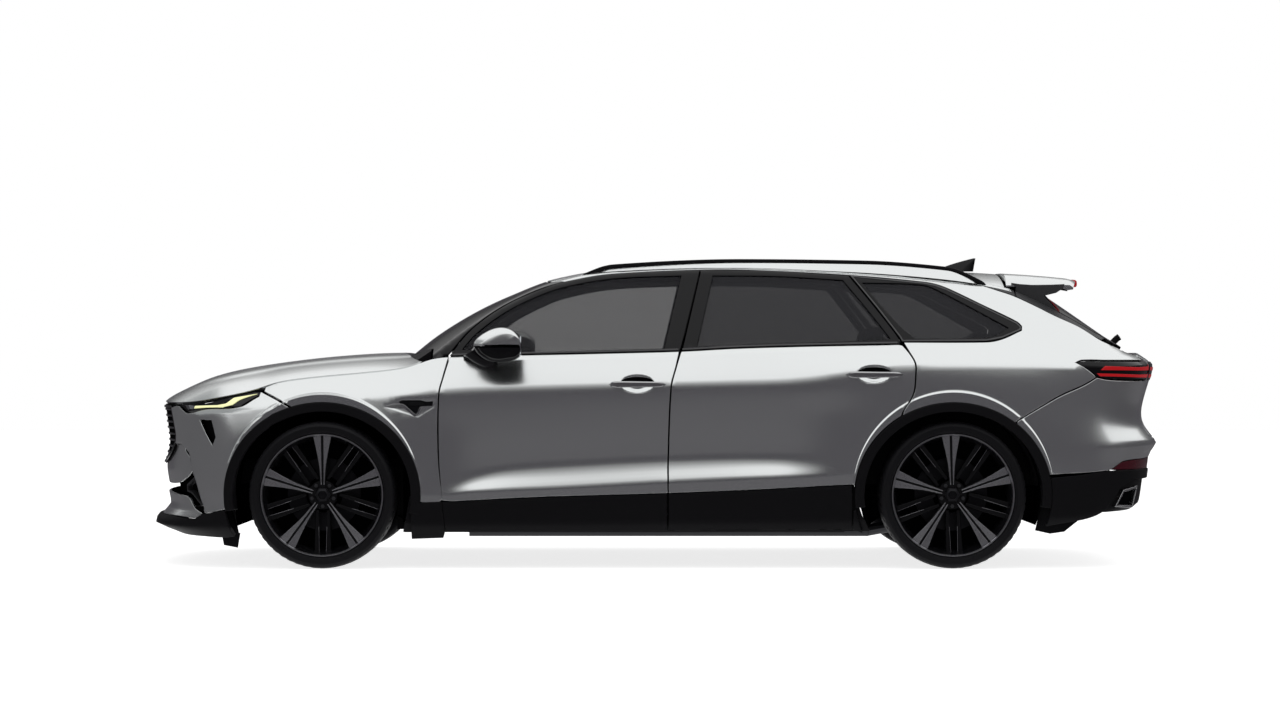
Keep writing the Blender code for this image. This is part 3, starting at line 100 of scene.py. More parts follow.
FRONT_WINDOW = [(-0.942, 1.066), (-0.873, 1.146), (-0.742, 1.244), (-0.600, 1.318), (-0.450, 1.372),
                (-0.204, 1.416), (0.130, 1.430), (0.046, 1.072), (-0.250, 1.064), (-0.650, 1.052)]
REAR_WINDOW = [(0.205, 1.080), (0.285, 1.430), (0.600, 1.427), (0.925, 1.408), (1.035, 1.270),
               (1.150, 1.118), (0.900, 1.106), (0.500, 1.093)]
QUARTER_WINDOW = [(1.020, 1.395), (1.319, 1.385), (1.405, 1.352), (1.735, 1.172), (1.640, 1.128),
                  (1.270, 1.120), (1.180, 1.200)]
WINDSCREEN_PLAN = [(-1.238, 0.0), (-1.220, 0.30), (-1.172, 0.55), (-1.090, 0.735), (-0.860, 0.690),
                   (-0.640, 0.655), (-0.520, 0.635), (-0.545, 0.35), (-0.552, 0.0)]
TAILGATE_GLASS_PLAN = [(1.980, 0.0), (1.980, 0.52), (2.275, 0.54), (2.300, 0.30), (2.305, 0.0)]
ROOF_RAIL = [(-0.366, 1.452), (-0.204, 1.489), (0.423, 1.515), (1.029, 1.508), (1.435, 1.478),
             (1.588, 1.445)]

STUDIO = bpy.data.collections.new("dressed")
bpy.context.scene.collection.children.link(STUDIO)


# ---------------------------------------------------------------- the skin as two dense grids
def hermite(t, start, leave, end, arrive):
    """A cubic from one value to the next that leaves and arrives with the given slopes."""
    return ((2 * t**3 - 3 * t**2 + 1) * start + (t**3 - 2 * t**2 + t) * leave
            + (3 * t**2 - 2 * t**3) * end + (t**3 - t**2) * arrive)


def sampled(table, column, places):
    """Smooth values of one column of a table at many places (monotone cubic, no overshoot)."""
    xs, ys = np.array([(row[0], row[column]) for row in table]).T
    slopes = np.diff(ys) / np.diff(xs)
    before, after = slopes[:-1], slopes[1:]
    product = before * after
    total = np.where(np.abs(before + after) < 1e-9, 1.0, before + after)
    tangents = np.concatenate([slopes[:1], np.where(product > 0, 2 * product / total, 0.0), slopes[-1:]])
    places = np.clip(places, xs[0], xs[-1])
    index = np.clip(np.searchsorted(xs, places, side="right") - 1, 0, len(xs) - 2)
    span = xs[index + 1] - xs[index]
    return hermite((places - xs[index]) / span, ys[index], span * tangents[index],
                   ys[index + 1], span * tangents[index + 1])


def step(t):
    """A soft step from nought to one."""
    t = np.clip(t, 0, 1)
    return t * t * (3 - 2 * t)


def flare(x):
    """How far the arches stand out, which fades over half a metre from each axle."""
    return ARCH_FLARE * np.maximum(*[np.exp(-((x - axle) / FLARE_REACH) ** 4) for axle in AXLES.values()])


def smoothed(grid, axis, sigma):
    """Blur a grid along one axis with its ends held."""
    reach = int(math.ceil(3 * sigma))
    kernel = np.exp(-0.5 * (np.arange(-reach, reach + 1) / sigma) ** 2)
    kernel /= kernel.sum()
    moved = np.moveaxis(grid, axis, 0)
    padded = np.concatenate([2 * moved[:1] - moved[reach:0:-1], moved, 2 * moved[-1:] - moved[-2:-reach - 2:-1]])
    result = sum(k * padded[i:i + len(moved)] for i, k in enumerate(kernel))
    return np.moveaxis(result, 0, axis)


FRONT_ARC, REAR_ARC = 1.35, 1.15        # length given to the nose's and the tail's corner
U_NOSE, U_TAIL = FRONT_ARC_END - FRONT_ARC, REAR_ARC_START + REAR_ARC
U_GRID = np.linspace(U_NOSE, U_TAIL, 640)
SEGMENT = 12                            # steps of the grid from one row of TUB_ROWS to the next
FIXED_ENDS = 40                         # stations at the nose and the tail that aren't smoothed


def tub_grid():
    """The body under the belt: rows of heights and widths, rounded in plan at the nose and the tail."""
    names = list(TUB_ROWS)
    count = len(U_GRID)
    rows = np.zeros((len(names), count, 3))
    for r, name in enumerate(names):
        table = TUB_ROWS[name]
        x, spread = U_GRID.copy(), np.ones(count)
        for part, tip, base, turned, roundness in (
                (U_GRID < FRONT_ARC_END, table[0][0], FRONT_ARC_END, (U_GRID - U_NOSE) / FRONT_ARC, FRONT_ROUNDNESS),
                (U_GRID > REAR_ARC_START, table[-1][0], REAR_ARC_START, (U_TAIL - U_GRID) / REAR_ARC, REAR_ROUNDNESS)):
            angle = math.pi / 2 * np.clip(turned[part], 0, None)
            x[part] = tip + (base - tip) * (1 - np.cos(angle) ** (2 / roundness))
            spread[part] = np.sin(angle) ** (2 / roundness)
        width = sampled(table, 2, x) + ROW_FLARE[name] * flare(x)
        rows[r] = np.stack([x, width * spread, sampled(table, 1, x)], axis=1)
    middle = slice(FIXED_ENDS, -FIXED_ENDS)
    rows[:, middle] = smoothed(rows, 1, 3.0)[:, middle]
    folds = np.array([ROW_FOLD[name] for name in names]).reshape(-1, 1, 1) * np.ones((1, count, 1))
    folds[names.index("scallop"), :, 0] += 0.60 * step((U_GRID - 1.80) / 0.35)
    folds[names.index("shoulder"), :, 0] -= 0.45 * step((U_GRID - 0.55) / 0.30) * step((2.0 - U_GRID) / 0.2)
    change = np.diff(rows, axis=0)
    before, after = np.concatenate([change[:1], change]), np.concatenate([change, change[-1:]])
    mean = (before + after) / 2
    into, out = mean + (before - mean) * folds, mean + (after - mean) * folds
    pieces = [hermite(k / SEGMENT, rows[r], out[r], rows[r + 1], into[r + 1])
              for r in range(len(names) - 1) for k in range(SEGMENT + (r == len(names) - 2))]
    grid = smoothed(np.stack(pieces, axis=1), 1, 0.8)
    grid[:, :, 2] = np.maximum.accumulate(grid[:, :, 2] + 1e-6 * np.arange(grid.shape[1]), axis=1)
    return grid


TUB = tub_grid()                        # [place along, place up, (x, half width, z)]
X_GRID = np.linspace(-1.33, 2.33, 420)


def row_at(grid, axis, places):
    """The grid's row at each place along its axis, between the two rows beside it."""
    spot = np.clip((places - axis[0]) / (axis[-1] - axis[0]) * (len(axis) - 1), 0, len(axis) - 1.001)
    i = spot.astype(int)
    f = (spot - i).reshape(-1, *[1] * (grid.ndim - 1))
    return grid[i] * (1 - f) + grid[i + 1] * f


def crossed(levels, value, columns, reach=np.inf, low_reach=None):
    """The columns' values where the rising levels of each row meet a value."""
    t = np.clip((levels < value[:, None]).sum(axis=1) - 1, 0, levels.shape[1] - 2)
    row = np.arange(len(value))
    share = (value - levels[row, t]) / np.maximum(levels[row, t + 1] - levels[row, t], 1e-6)
    share = np.clip(share, -reach if low_reach is None else low_reach, reach)
    return [column[row, t] + (column[row, t + 1] - column[row, t]) * share for column in columns]


def bisected(low, high, too_low, rounds=30):
    """The place between two bounds where too_low turns false."""
    for _ in range(rounds):
        middle = (low + high) / 2
        less = too_low(middle)
        low, high = np.where(less, middle, low), np.where(less, high, middle)
    return (low + high) / 2


def tub_at(u, z):
    """x, half width of the tub at a place along and a height."""
    xs, ws, zs = np.moveaxis(row_at(TUB, U_GRID, u), 2, 0)
    return crossed(zs, z, (xs, ws), 2.0, -1.0)


def belt_at(u):
    """The belt's point (x, half width, z) at a place along."""
    return row_at(TUB[:, -1], U_GRID, np.asarray(u, float))


def belt_z(u):
    """The belt's height at one place along."""
    return float(belt_at([u])[0, 2])


def belt_u(x):
    """Place along whose belt lies at x."""
    return np.interp(x, TUB[:, -1, 0], U_GRID)


SIDE_SAMPLES, CROWN_SAMPLES = 24, 30
BULGE, CROWN_POWER = 0.012, 2.4         # of the glasshouse's sides, and of the roof's fall to its edge


def cabin_grid():
    """The glasshouse and roof: straight sides with a little bulge, then a crown to the centre line."""
    edge_z, edge_w, belt_w, centre_z = (smoothed(sampled(TOP_SECTIONS, c, X_GRID), 0, 2.5) for c in (1, 2, 3, 4))
    belt = belt_at(belt_u(X_GRID))
    low_z = np.minimum(belt[:, 2], edge_z - 0.030)
    low_w = belt_w + (belt[:, 1] - belt_w) * step((X_GRID - 1.0) / 0.35)
    points = []
    for s in np.arange(SIDE_SAMPLES) / SIDE_SAMPLES:
        bulge = BULGE * math.sin(math.pi * s)
        points.append(np.stack([X_GRID, low_w + (edge_w - low_w) * s + bulge, low_z + (edge_z - low_z) * s], axis=1))
    for share in 1 - np.arange(CROWN_SAMPLES + 1) / CROWN_SAMPLES:
        points.append(np.stack([X_GRID, edge_w * share, centre_z - (centre_z - edge_z) * share ** CROWN_POWER], axis=1))
    grid = np.stack(points, axis=1)
    for _ in range(5):
        grid[:, 1:-1] = (grid[:, :-2] + 2 * grid[:, 1:-1] + grid[:, 2:]) / 4
    return grid


CABIN = cabin_grid()


def cabin_width(x, z):
    """Half width of the cabin at a height."""
    _, ws, zs = np.moveaxis(row_at(CABIN, X_GRID, x), 2, 0)
    return crossed(zs, z, [ws], 3)[0]


def cabin_height(x, w):
    """Height of the cabin's roof at a distance from the centre line."""
    _, ws, zs = np.moveaxis(row_at(CABIN, X_GRID, x), 2, 0)
    return crossed(-ws, -np.abs(w), [zs], 3)[0]


ALONG_CABIN = np.concatenate([np.zeros((len(X_GRID), 1)), np.cumsum(
    np.linalg.norm(np.diff(CABIN[:, :, 1:], axis=1), axis=2), axis=1)], axis=1)


def cabin_at(x, s):
    """Half width and height of the cabin at a distance up along its surface from the belt."""
    _, ws, zs = np.moveaxis(row_at(CABIN, X_GRID, x), 2, 0)
    return crossed(row_at(ALONG_CABIN, X_GRID, x), s, (ws, zs))


def cabin_rise(x, value, column):
    """Distance up the cabin's surface to a half width (column 0) or a height (column 1), at one x."""
    x, turn = np.array([x]), (-1, 1)[column]
    return float(bisected(np.zeros(1), np.full(1, 1.6), lambda s: turn * cabin_at(x, s)[column] < turn * value)[0])


ARCH_IN, ARCH_OUT = (0.432, 0.406), (0.478, 0.450)      # half sizes of the mouldings' ovals
FLARE_OVAL = {FRONT_AXLE_X: (0.484, 0.497), REAR_AXLE_X: (0.492, 0.507)}
HANDLES = ((-0.086, 0.898), (1.063, 0.946))
CUP, CUP_DEPTH = (0.088, 0.046), 0.018  # half sizes and depth of the cup behind a handle


def base_skin(u, z):
    """x, half width of the sides from the lip up to the roof, before the small forms."""
    x, w = tub_at(u, z)
    belt = belt_at(u)
    over = z > belt[:, 2]
    if over.any():
        x[over], w[over] = belt[over, 0], cabin_width(belt[over, 0], z[over])
    return x, w


def side_skin(u, z):
    """The sides with a flat lip round each wheel opening and cups behind the handles."""
    x, w = base_skin(u, z)
    for axle, (across, up) in FLARE_OVAL.items():
        dx, dz = x - axle, z - AXLE_Z
        share = step((1.0 - np.hypot(dx / across, dz / up)) / 0.009) * step((dz + 0.02) / 0.10)
        near = share > 0
        if near.any():
            reach = 1 / np.maximum(np.hypot(dx[near] / ARCH_OUT[0], dz[near] / ARCH_OUT[1]), 0.5)
            _, low = base_skin(u[near] + dx[near] * (reach - 1), AXLE_Z + dz[near] * reach)
            w[near] += (low + 0.004 - w[near]) * share[near]
    for middle, height in HANDLES:
        r = ((x - middle) / CUP[0]) ** 2 + ((z - height) / CUP[1]) ** 2
        w = w - CUP_DEPTH * step((1.0 - r) / 0.80)
    return x, w


def u_of(x, z):
    """Places along that lie at x in side view at a height."""
    x, z = np.asarray(x, float), np.asarray(z, float)
    low = np.where(x < 0, U_NOSE, np.minimum(x, REAR_ARC_START))
    high = np.where(x < 0, np.maximum(x, FRONT_ARC_END), U_TAIL)
    level = np.minimum(z, np.minimum(belt_at(low)[:, 2], 1.09))
    found = bisected(low, high, lambda u: tub_at(u, level)[0] < x, 26)
    return np.where((x > FRONT_ARC_END) & (x < REAR_ARC_START), x, found)


def on_side(side):
    """A map from (along, height) to the outside of one side of the car."""
    def place(points):
        x, w = side_skin(points[:, 0], points[:, 1])
        return np.stack([x, side * w, points[:, 1]], axis=1)
    return place


def on_nose(points):
    """A map from (distance round from the middle of the nose, height) to the nose."""
    x, w = side_skin(U_NOSE + np.abs(points[:, 0]), points[:, 1])
    return np.stack([x, -np.sign(points[:, 0]) * w, points[:, 1]], axis=1)


BELT_OFFSETS = (-0.040, -0.028, -0.014, 0.0, 0.014, 0.028, 0.040)


def on_shell(side):
    """A map from (along, distance up from the belt) to one side of the car and its roof.

    Over the rear quarters the fold at the belt is rounded, as the mean of places above and below."""
    def place(points):
        u, s = points[:, 0], points[:, 1]
        belt = belt_at(u)
        weight = step((u - 1.15) / 0.25) * step((0.12 - np.abs(s)) / 0.06)
        total = np.zeros((len(u), 3))
        for offset in BELT_OFFSETS:
            level = s + offset * weight
            z = belt[:, 2] + np.minimum(level, 0.0)
            x, w = side_skin(u, z)
            over = level > 0
            if over.any():
                x[over] = belt[over, 0]
                w[over], z[over] = cabin_at(belt[over, 0], level[over])
            total += np.stack([x, side * w, z], axis=1) / len(BELT_OFFSETS)
        return total
    return place


def shell_outline(points):
    """An outline in side view as (along, distance up from the belt); z may be ("w", half width)."""
    result = []
    for x, z in points:
        u = float(belt_u(x))
        if isinstance(z, tuple):
            result.append((u, cabin_rise(x, z[1], 0)))
        elif z >= belt_z(u):
            result.append((u, cabin_rise(x, z, 1)))
        else:
            u = float(u_of([x], [z])[0])
            result.append((u, z - belt_z(u)))
    return result


def shell_points(points):
    """Points of a fill given by (along, height) as (along, distance up), those under the belt only."""
    u, z = np.asarray(points, float).T
    return [(a, b) for a, b in zip(u, z - belt_at(u)[:, 2]) if b < 0]


TAIL_SLOPE = 2.8                        # how far the tail runs forward for each metre above the belt


def on_tail(points):
    """The tail's map, which runs on above the belt, sloping to the foot of the rear window."""
    v, z = points[:, 0], points[:, 1]
    u = U_TAIL - np.abs(v)
    belt = belt_at(u)[:, 2]
    x, w = side_skin(u, np.minimum(z, belt))
    return np.stack([x - TAIL_SLOPE * np.maximum(z - belt, 0.0), -np.sign(v) * w, z], axis=1)


def on_top(points):
    """A map from (x, y) to the roof."""
    return np.stack([points[:, 0], points[:, 1], cabin_height(points[:, 0], points[:, 1])], axis=1)


# ---------------------------------------------------------------- panels cut from the skin
def grown(outline, distance):
    """A closed outline moved outward by a distance."""
    outline = np.asarray(outline, float)
    before, after = outline - np.roll(outline, 1, 0), np.roll(outline, -1, 0) - outline
    area = np.sum(outline[:, 0] * np.roll(outline[:, 1], -1) - np.roll(outline[:, 0], -1) * outline[:, 1])
    turn = 1 if area > 0 else -1
    unit = lambda v: v / np.maximum(np.linalg.norm(v, axis=1, keepdims=True), 1e-9)
    n1, n2 = (np.stack([d[:, 1], -d[:, 0]], axis=1) for d in (unit(before), unit(after)))
    middle = unit(n1 + n2)
    reach = turn * distance / np.maximum((middle * n1).sum(axis=1, keepdims=True), 0.5)
    return outline + middle * reach


def resampled(outline, pitch, corner=35.0, smooth=True):
    """Curve through an outline's points that keeps its sharp corners, in short steps."""
    outline = [Vector((*p[:2], 0)) for p in outline]
    count = len(outline)
    straight = []
    for i in range(count):
        a, b = outline[i] - outline[i - 1], outline[(i + 1) % count] - outline[i]
        angle = a.angle(b) if a.length > 1e-9 and b.length > 1e-9 else 0.0
        straight.append(not smooth or math.degrees(angle) > corner)
    result = []
    for i in range(count):
        j = (i + 1) % count
        p0, p1, p2, p3 = outline[i - 1], outline[i], outline[j], outline[(i + 2) % count]
        length = (p2 - p1).length
        leave = p2 - p1 if straight[i] else (p2 - p0) * length / max((p1 - p0).length + length, 1e-9)
        arrive = p2 - p1 if straight[j] else (p3 - p1) * length / max((p3 - p2).length + length, 1e-9)
        steps = max(1, int(round(length / pitch)))
        result += [hermite(k / steps, p1, leave, p2, arrive) for k in range(steps)]
    points = np.array([(p.x, p.y) for p in result])
    return points[np.linalg.norm(points - np.roll(points, 1, 0), axis=1) > 0.0012]


def inside(points, outline):
    """Which points lie inside a closed outline."""
    x, y = points[:, 0], points[:, 1]
    hit = np.zeros(len(points), bool)
    for (x1, y1), (x2, y2) in zip(outline, np.roll(outline, -1, 0)):
        crosses = (y1 > y) != (y2 > y)
        with np.errstate(divide="ignore", invalid="ignore"):
            hit ^= crosses & (x < (x2 - x1) * (y - y1) / (y2 - y1) + x1)
    return hit


def distance_to(points, outline):
    """Each point's distance from a closed outline."""
    best = np.full(len(points), 1e9)
    for a, b in zip(outline, np.roll(outline, -1, 0)):
        d = b - a
        t = np.clip(((points - a) @ d) / max(d @ d, 1e-12), 0, 1)
        best = np.minimum(best, np.linalg.norm(points - a - t[:, None] * d, axis=1))
    return best


def within(points, loops, clear=None):
    """Which points lie inside the first loop and outside the others, and clear of them all."""
    keep = inside(points, loops[0])
    for hole in loops[1:]:
        keep &= ~inside(points, hole)
    if clear:
        for loop in loops:
            keep &= distance_to(points, loop) > clear
    return keep


def fold_points(low, high, pitch=0.028):
    """Points of the skin's own grid between two corners, so that triangles follow its folds."""
    stations = np.arange(low[0], high[0], pitch)
    spots = np.clip((stations - U_NOSE) / (U_TAIL - U_NOSE) * (len(U_GRID) - 1), 0, len(U_GRID) - 1).astype(int)
    return [(s, z) for s, i in zip(stations, spots) for z in TUB[i, ::2, 2] if low[1] < z < high[1]]


def even_points(low, high, pitch=0.03):
    """An even grid of points between two corners."""
    return [(x, y) for x in np.arange(low[0], high[0], pitch) for y in np.arange(low[1], high[1], pitch)]


RING_SHARES = (0.950, 0.968, 0.982, 0.9895, 0.9925, 0.9955, 0.9980, 1.0004, 1.006, 1.020, 1.045)
RING_CLEAR = (0.945, 1.060)             # the band round a flare that its own rings of points fill
CUP_SHARES = (0.05, 0.25, 0.42, 0.55, 0.68, 0.80, 0.90, 1.0, 1.1)


def oval_rings(centre, half, shares, steps):
    """Points on rings round a centre, as shares of an oval's half sizes."""
    return [(centre[0] + share * half[0] * math.cos(a), centre[1] + share * half[1] * math.sin(a))
            for share in shares for a in 2 * math.pi * np.arange(steps) / steps]


def off_flare(points, axle):
    """Which points lie outside the band that the rings round a flare fill."""
    across, up = FLARE_OVAL[axle]
    q = np.hypot((points[:, 0] - axle) / across, (points[:, 1] - AXLE_Z) / up)
    return (q < RING_CLEAR[0]) | (q > RING_CLEAR[1])


def side_fill(low, high):
    """Points along the skin's folds, and rings of points round the flares and the handles' cups."""
    points = np.asarray(fold_points(low, high), float).reshape(-1, 2)
    keep, rings = np.ones(len(points), bool), []
    for axle, half in FLARE_OVAL.items():
        keep &= off_flare(points, axle)
        rings += oval_rings((axle, AXLE_Z), half, RING_SHARES, 200)
    for centre in HANDLES:
        keep &= np.hypot(*((points - centre) / CUP).T) > 1.15
        rings += oval_rings(centre, CUP, CUP_SHARES, 28)
    return [tuple(p) for p in points[keep]] + rings


def normals_of(place, points):
    """Unit normals of a mapped skin, by differences."""
    along, up = (place(points + shift) - place(points - shift) for shift in np.array([[0.014, 0.0], [0.0, 0.005]]))
    normal = np.cross(along, up)
    return normal / np.maximum(np.linalg.norm(normal, axis=1, keepdims=True), 1e-9)


SEED_CLEAR = 0.007                      # least distance of a fill's point from an edge


def panel(name, place, outline, finish, holes=(), fill=(), thick=0.025, start=0.0, edge=0.0025, pitch=0.012,
          outward=(0, 0, 1), smooth=True):
    """A closed plate that follows the skin: an outer face, a rounded edge and an inner face.

    The outline and its holes are given in the map's own two coordinates."""
    loops = [resampled(loop, pitch, smooth=smooth) for loop in (outline, *holes)]
    seeds = np.array(list(fill)) if len(fill) else np.zeros((0, 2))
    if len(seeds):
        seeds = seeds[np.unique(np.round(seeds, 4), axis=0, return_index=True)[1]]
    for share in (1.0, 0.5, 0.2, 0.05):     # where the outline is too tight for its edge, a finer edge is tried
        edge = edge * share
        face_loops, rounded = ([grown(loop, amount if k else -amount) for k, loop in enumerate(loops)]
                               for amount in (edge, edge * 0.29))
        inner = seeds[within(seeds, face_loops, SEED_CLEAR)] if len(seeds) else seeds
        flat = np.concatenate(face_loops + [inner])
        edges, rim = [], 0
        for loop in face_loops:
            edges += [(rim + k, rim + (k + 1) % len(loop)) for k in range(len(loop))]
            rim += len(loop)
        verts, _, faces, _, _, _ = delaunay_2d_cdt([Vector(p) for p in flat], edges, [], 0, 1e-7)
        verts = np.array([(v.x, v.y) for v in verts])
        if len(verts) == len(flat):
            break
    else:
        raise ValueError(f"{name}: {len(flat)} points became {len(verts)}")
    faces = np.array([f for f in faces if len(f) == 3])
    faces = faces[within(verts[faces].mean(axis=1), face_loops)]
    top, normal = place(verts), normals_of(place, verts)
    if (normal @ np.asarray(outward, float)).sum() < 0:
        normal = -normal
    a, b, c = (top[faces[:, i]] for i in range(3))
    if (np.cross(b - a, c - a) * normal[faces[:, 0]]).sum() < 0:
        faces = faces[:, ::-1]
    rim_normal = normal[:rim]
    rest = place(np.concatenate(loops))
    out = rest - top[:rim]
    out -= (out * rim_normal).sum(axis=1, keepdims=True) * rim_normal
    out /= np.maximum(np.linalg.norm(out, axis=1, keepdims=True), 1e-9)
    # outer face, round of the edge, outermost line, inner line, inner face
    positions = np.concatenate([
        top - normal * start, place(np.concatenate(rounded)) - rim_normal * (start + edge * 0.29),
        rest - rim_normal * (start + edge), rest - rim_normal * (start + thick),
        top[rim:] - normal[rim:] * (start + thick)])
    shades = np.concatenate([normal, (rim_normal + out) / math.sqrt(2), out, out, -normal[rim:]])
    triangles = [tuple(int(i) for i in f) for f in faces]
    levels = [0] + [len(flat) + rim * k for k in range(4)]
    oriented = {(f[i], f[(i + 1) % 3]) for f in triangles for i in range(3)}
    for p, q in edges:
        if (p, q) not in oriented:
            p, q = q, p
        triangles += [(low + q, low + p, high + p, high + q) for low, high in zip(levels, levels[1:-1])]
    triangles += [tuple(int(i) + (levels[3] if i < rim else levels[4] - rim) for i in f[::-1]) for f in faces]
    mesh = bpy.data.meshes.new(name)
    mesh.from_pydata([tuple(p) for p in positions], [], triangles)
    mesh.update()
    thing = linked(name, mesh, finish)
    mesh.shade_smooth()
    mesh.normals_split_custom_set_from_vertices([tuple(n) for n in shades])
    if finish is PAINT:
        mesh.materials.append(DARK)
        slots = np.zeros(len(triangles), dtype=np.int32)
        slots[len(triangles) - len(faces):] = 1
        mesh.polygons.foreach_set("material_index", slots)
    return thing


def linked(name, mesh, finish):
    """A mesh as an object of the dressed car, with its finish."""
    mesh.materials.append(finish)
    thing = bpy.data.objects.new(name, mesh)
    STUDIO.objects.link(thing)
    return thing


def lay(name, place, outline, finish, body="body_shell", stands_for=None, fill=(), margin=0.0, **more):
    """A panel that rides on a body; its fill may be a rule that takes the outline's two corners."""
    outline = np.asarray(outline, float)
    if callable(fill):
        fill = fill(outline.min(axis=0) - margin, outline.max(axis=0) + margin)
    thing = panel(name, place, outline, finish, fill=fill, **more)
    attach(thing, body)
    if stands_for:
        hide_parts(stands_for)
    return thing


def side_outline(points):
    """An outline in side view, x and z, given as places along the skin."""
    points = np.asarray(points, float)
    return np.stack([u_of(points[:, 0], points[:, 1]), points[:, 1]], axis=1)


# ---------------------------------------------------------------- materials
def add_node(nodes, kind, **inputs):
    """A shader node with values for its inputs."""
    node = nodes.new("ShaderNode" + kind)
    for socket, value in inputs.items():
        node.inputs[socket.replace("_", " ")].default_value = value
    return node


def node_tree(owner):
    """The nodes of a material or a world, and the call that links them."""
    owner.use_nodes = True
    return owner.node_tree.nodes, owner.node_tree.links.new


def material(name, colour, roughness, metallic=0.0, coat=0.0, emission=None, strength=0.0,
             mottle=0.0, scale=40.0, bump=0.0, alpha=1.0, gloss=0.5):
    """A principled material whose roughness varies a little by a procedural noise."""
    mat = bpy.data.materials.new(name)
    nodes, link = node_tree(mat)
    shader = nodes["Principled BSDF"]
    values = {"Base Color": (*colour, 1.0), "Roughness": roughness, "Metallic": metallic, "Coat Weight": coat,
              "Coat Roughness": 0.03, "IOR": 1.45, "Alpha": alpha, "Specular IOR Level": gloss}
    if emission:
        values |= {"Emission Color": (*emission, 1.0), "Emission Strength": strength}
    for socket, value in values.items():
        shader.inputs[socket].default_value = value
    place = add_node(nodes, "TexCoord")
    noise = add_node(nodes, "TexNoise", Scale=scale, Detail=4.0)
    link(place.outputs["Object"], noise.inputs["Vector"])
    span = add_node(nodes, "MapRange", To_Min=max(roughness - mottle, 0.02), To_Max=roughness + mottle)
    link(noise.outputs["Fac"], span.inputs["Value"])
    link(span.outputs["Result"], shader.inputs["Roughness"])
    if bump:
        relief = add_node(nodes, "Bump", Strength=0.5, Distance=bump)
        link(noise.outputs["Fac"], relief.inputs["Height"])
        link(relief.outputs["Normal"], shader.inputs["Normal"])
    return mat


PAINT = material("paint_silver", (0.80, 0.82, 0.82), 0.22, 1.0, 0.20, mottle=0.006, scale=30.0)
BLACK_GLOSS = material("black_gloss", (0.004, 0.004, 0.005), 0.14, gloss=0.32, mottle=0.02)
PLASTIC = material("black_plastic", (0.0075, 0.0072, 0.0085), 0.50, gloss=0.10, mottle=0.05, scale=300.0)
# near-black for backs, openings, liners and frames; also the painted shade in the handles' cups and across the wheels'
# barrels
DARK = material("dark_inside", (0.003, 0.003, 0.0035), 0.9, gloss=0.0, mottle=0.02)
RUBBER = material("tyre_black", (0.009, 0.0088, 0.0105), 0.52, gloss=0.16, mottle=0.06, scale=60.0)
ALLOY_FACE = material("alloy_machined", (0.46, 0.46, 0.48), 0.28, 0.95, mottle=0.03, scale=500.0)
ALLOY_DARK = material("alloy_black", (0.006, 0.006, 0.007), 0.25, gloss=0.25, mottle=0.03)
GLASS_DARK = material("glass_tinted", (0.022, 0.022, 0.027), 0.03, gloss=0.30, mottle=0.005, alpha=0.44)
GLASS_REAR = material("glass_rear", (0.022, 0.022, 0.027), 0.03, gloss=0.30, mottle=0.005, alpha=0.62)
BELT_GREY = material("belt_grey", (0.085, 0.085, 0.088), 0.45, 0.2, mottle=0.04, scale=300.0)
# painted highlight: a lighter plastic for the strips that stand for the light on the sills' fold
SILL_HIGHLIGHT = material("sill_painted_highlight", (0.040, 0.038, 0.045), 0.5, mottle=0.04, scale=300.0)
PANE_BLACK = material("glass_privacy", (0.006, 0.006, 0.008), 0.05, gloss=0.30, mottle=0.005, alpha=0.93)
STEEL = material("steel_dark", (0.06, 0.06, 0.065), 0.5, 0.8, mottle=0.08)
LEATHER = material("leather_black", (0.035, 0.034, 0.034), 0.5, mottle=0.06, scale=220.0, bump=0.0006)
LAMP_BLACK = material("lamp_black", (0.004, 0.004, 0.005), 0.08, gloss=0.35, mottle=0.01)
DRL = material("lamp_strip", (0.80, 0.80, 0.45), 0.2, emission=(0.95, 0.95, 0.50), strength=0.55, mottle=0.01)
ALLOY_GREY = material("alloy_grey", (0.05, 0.05, 0.055), 0.3, 0.9, mottle=0.03)
STEEL_BRIGHT = material("brake_steel", (0.035, 0.035, 0.038), 0.40, 1.0, mottle=0.08, scale=120.0)
CHROME = material("satin_chrome", (0.50, 0.50, 0.51), 0.22, 1.0, mottle=0.03, scale=300.0)
MIRROR_PANE = material("mirror_pane", (0.55, 0.57, 0.60), 0.04, 1.0, mottle=0.01)
TRIM_GREY = material("trim_grey", (0.040, 0.040, 0.043), 0.45, gloss=0.25, mottle=0.03, scale=300.0)
TRIM_INNER = material("trim_inner", (0.022, 0.022, 0.023), 0.6, gloss=0.3, mottle=0.05, scale=250.0, bump=0.0004)
LAMP_EYE = material("lamp_projector", (0.25, 0.25, 0.27), 0.08, 0.9, mottle=0.01)
LAMP_DULL = material("lamp_reflector", (0.060, 0.006, 0.012), 0.25, gloss=0.2, mottle=0.01)
LAMP_RED = material("lamp_red_lit", (0.35, 0.004, 0.006), 0.15, emission=(0.9, 0.02, 0.03), strength=0.20, mottle=0.01)

# the finishes that stand for each of the record's material slots; the first one also dresses CAD nodes
FINISH_SLOTS = {"silver_paint": (PAINT,), "alloy": (ALLOY_DARK, ALLOY_FACE, ALLOY_GREY, CHROME, MIRROR_PANE),
                "dark_trim": (PLASTIC, BLACK_GLOSS, DARK, TRIM_GREY, TRIM_INNER, BELT_GREY, SILL_HIGHLIGHT),
                "tyre_rubber": (RUBBER,), "tinted_glass": (GLASS_DARK, GLASS_REAR, PANE_BLACK),
                "lamp_clear": (LAMP_BLACK, DRL, LAMP_EYE), "lamp_red": (LAMP_RED, LAMP_DULL),
                "dark_steel": (STEEL, STEEL_BRIGHT), "seat_leather": (LEATHER,)}


def dress_cad():
    """Every CAD node that stays gets the finish of its material slot."""
    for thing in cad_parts.values():
        for place in thing.material_slots:
            if place.material:
                stem = place.material.name.split(".")[0]
                if stem in FINISH_SLOTS:
                    place.material = FINISH_SLOTS[stem][0]


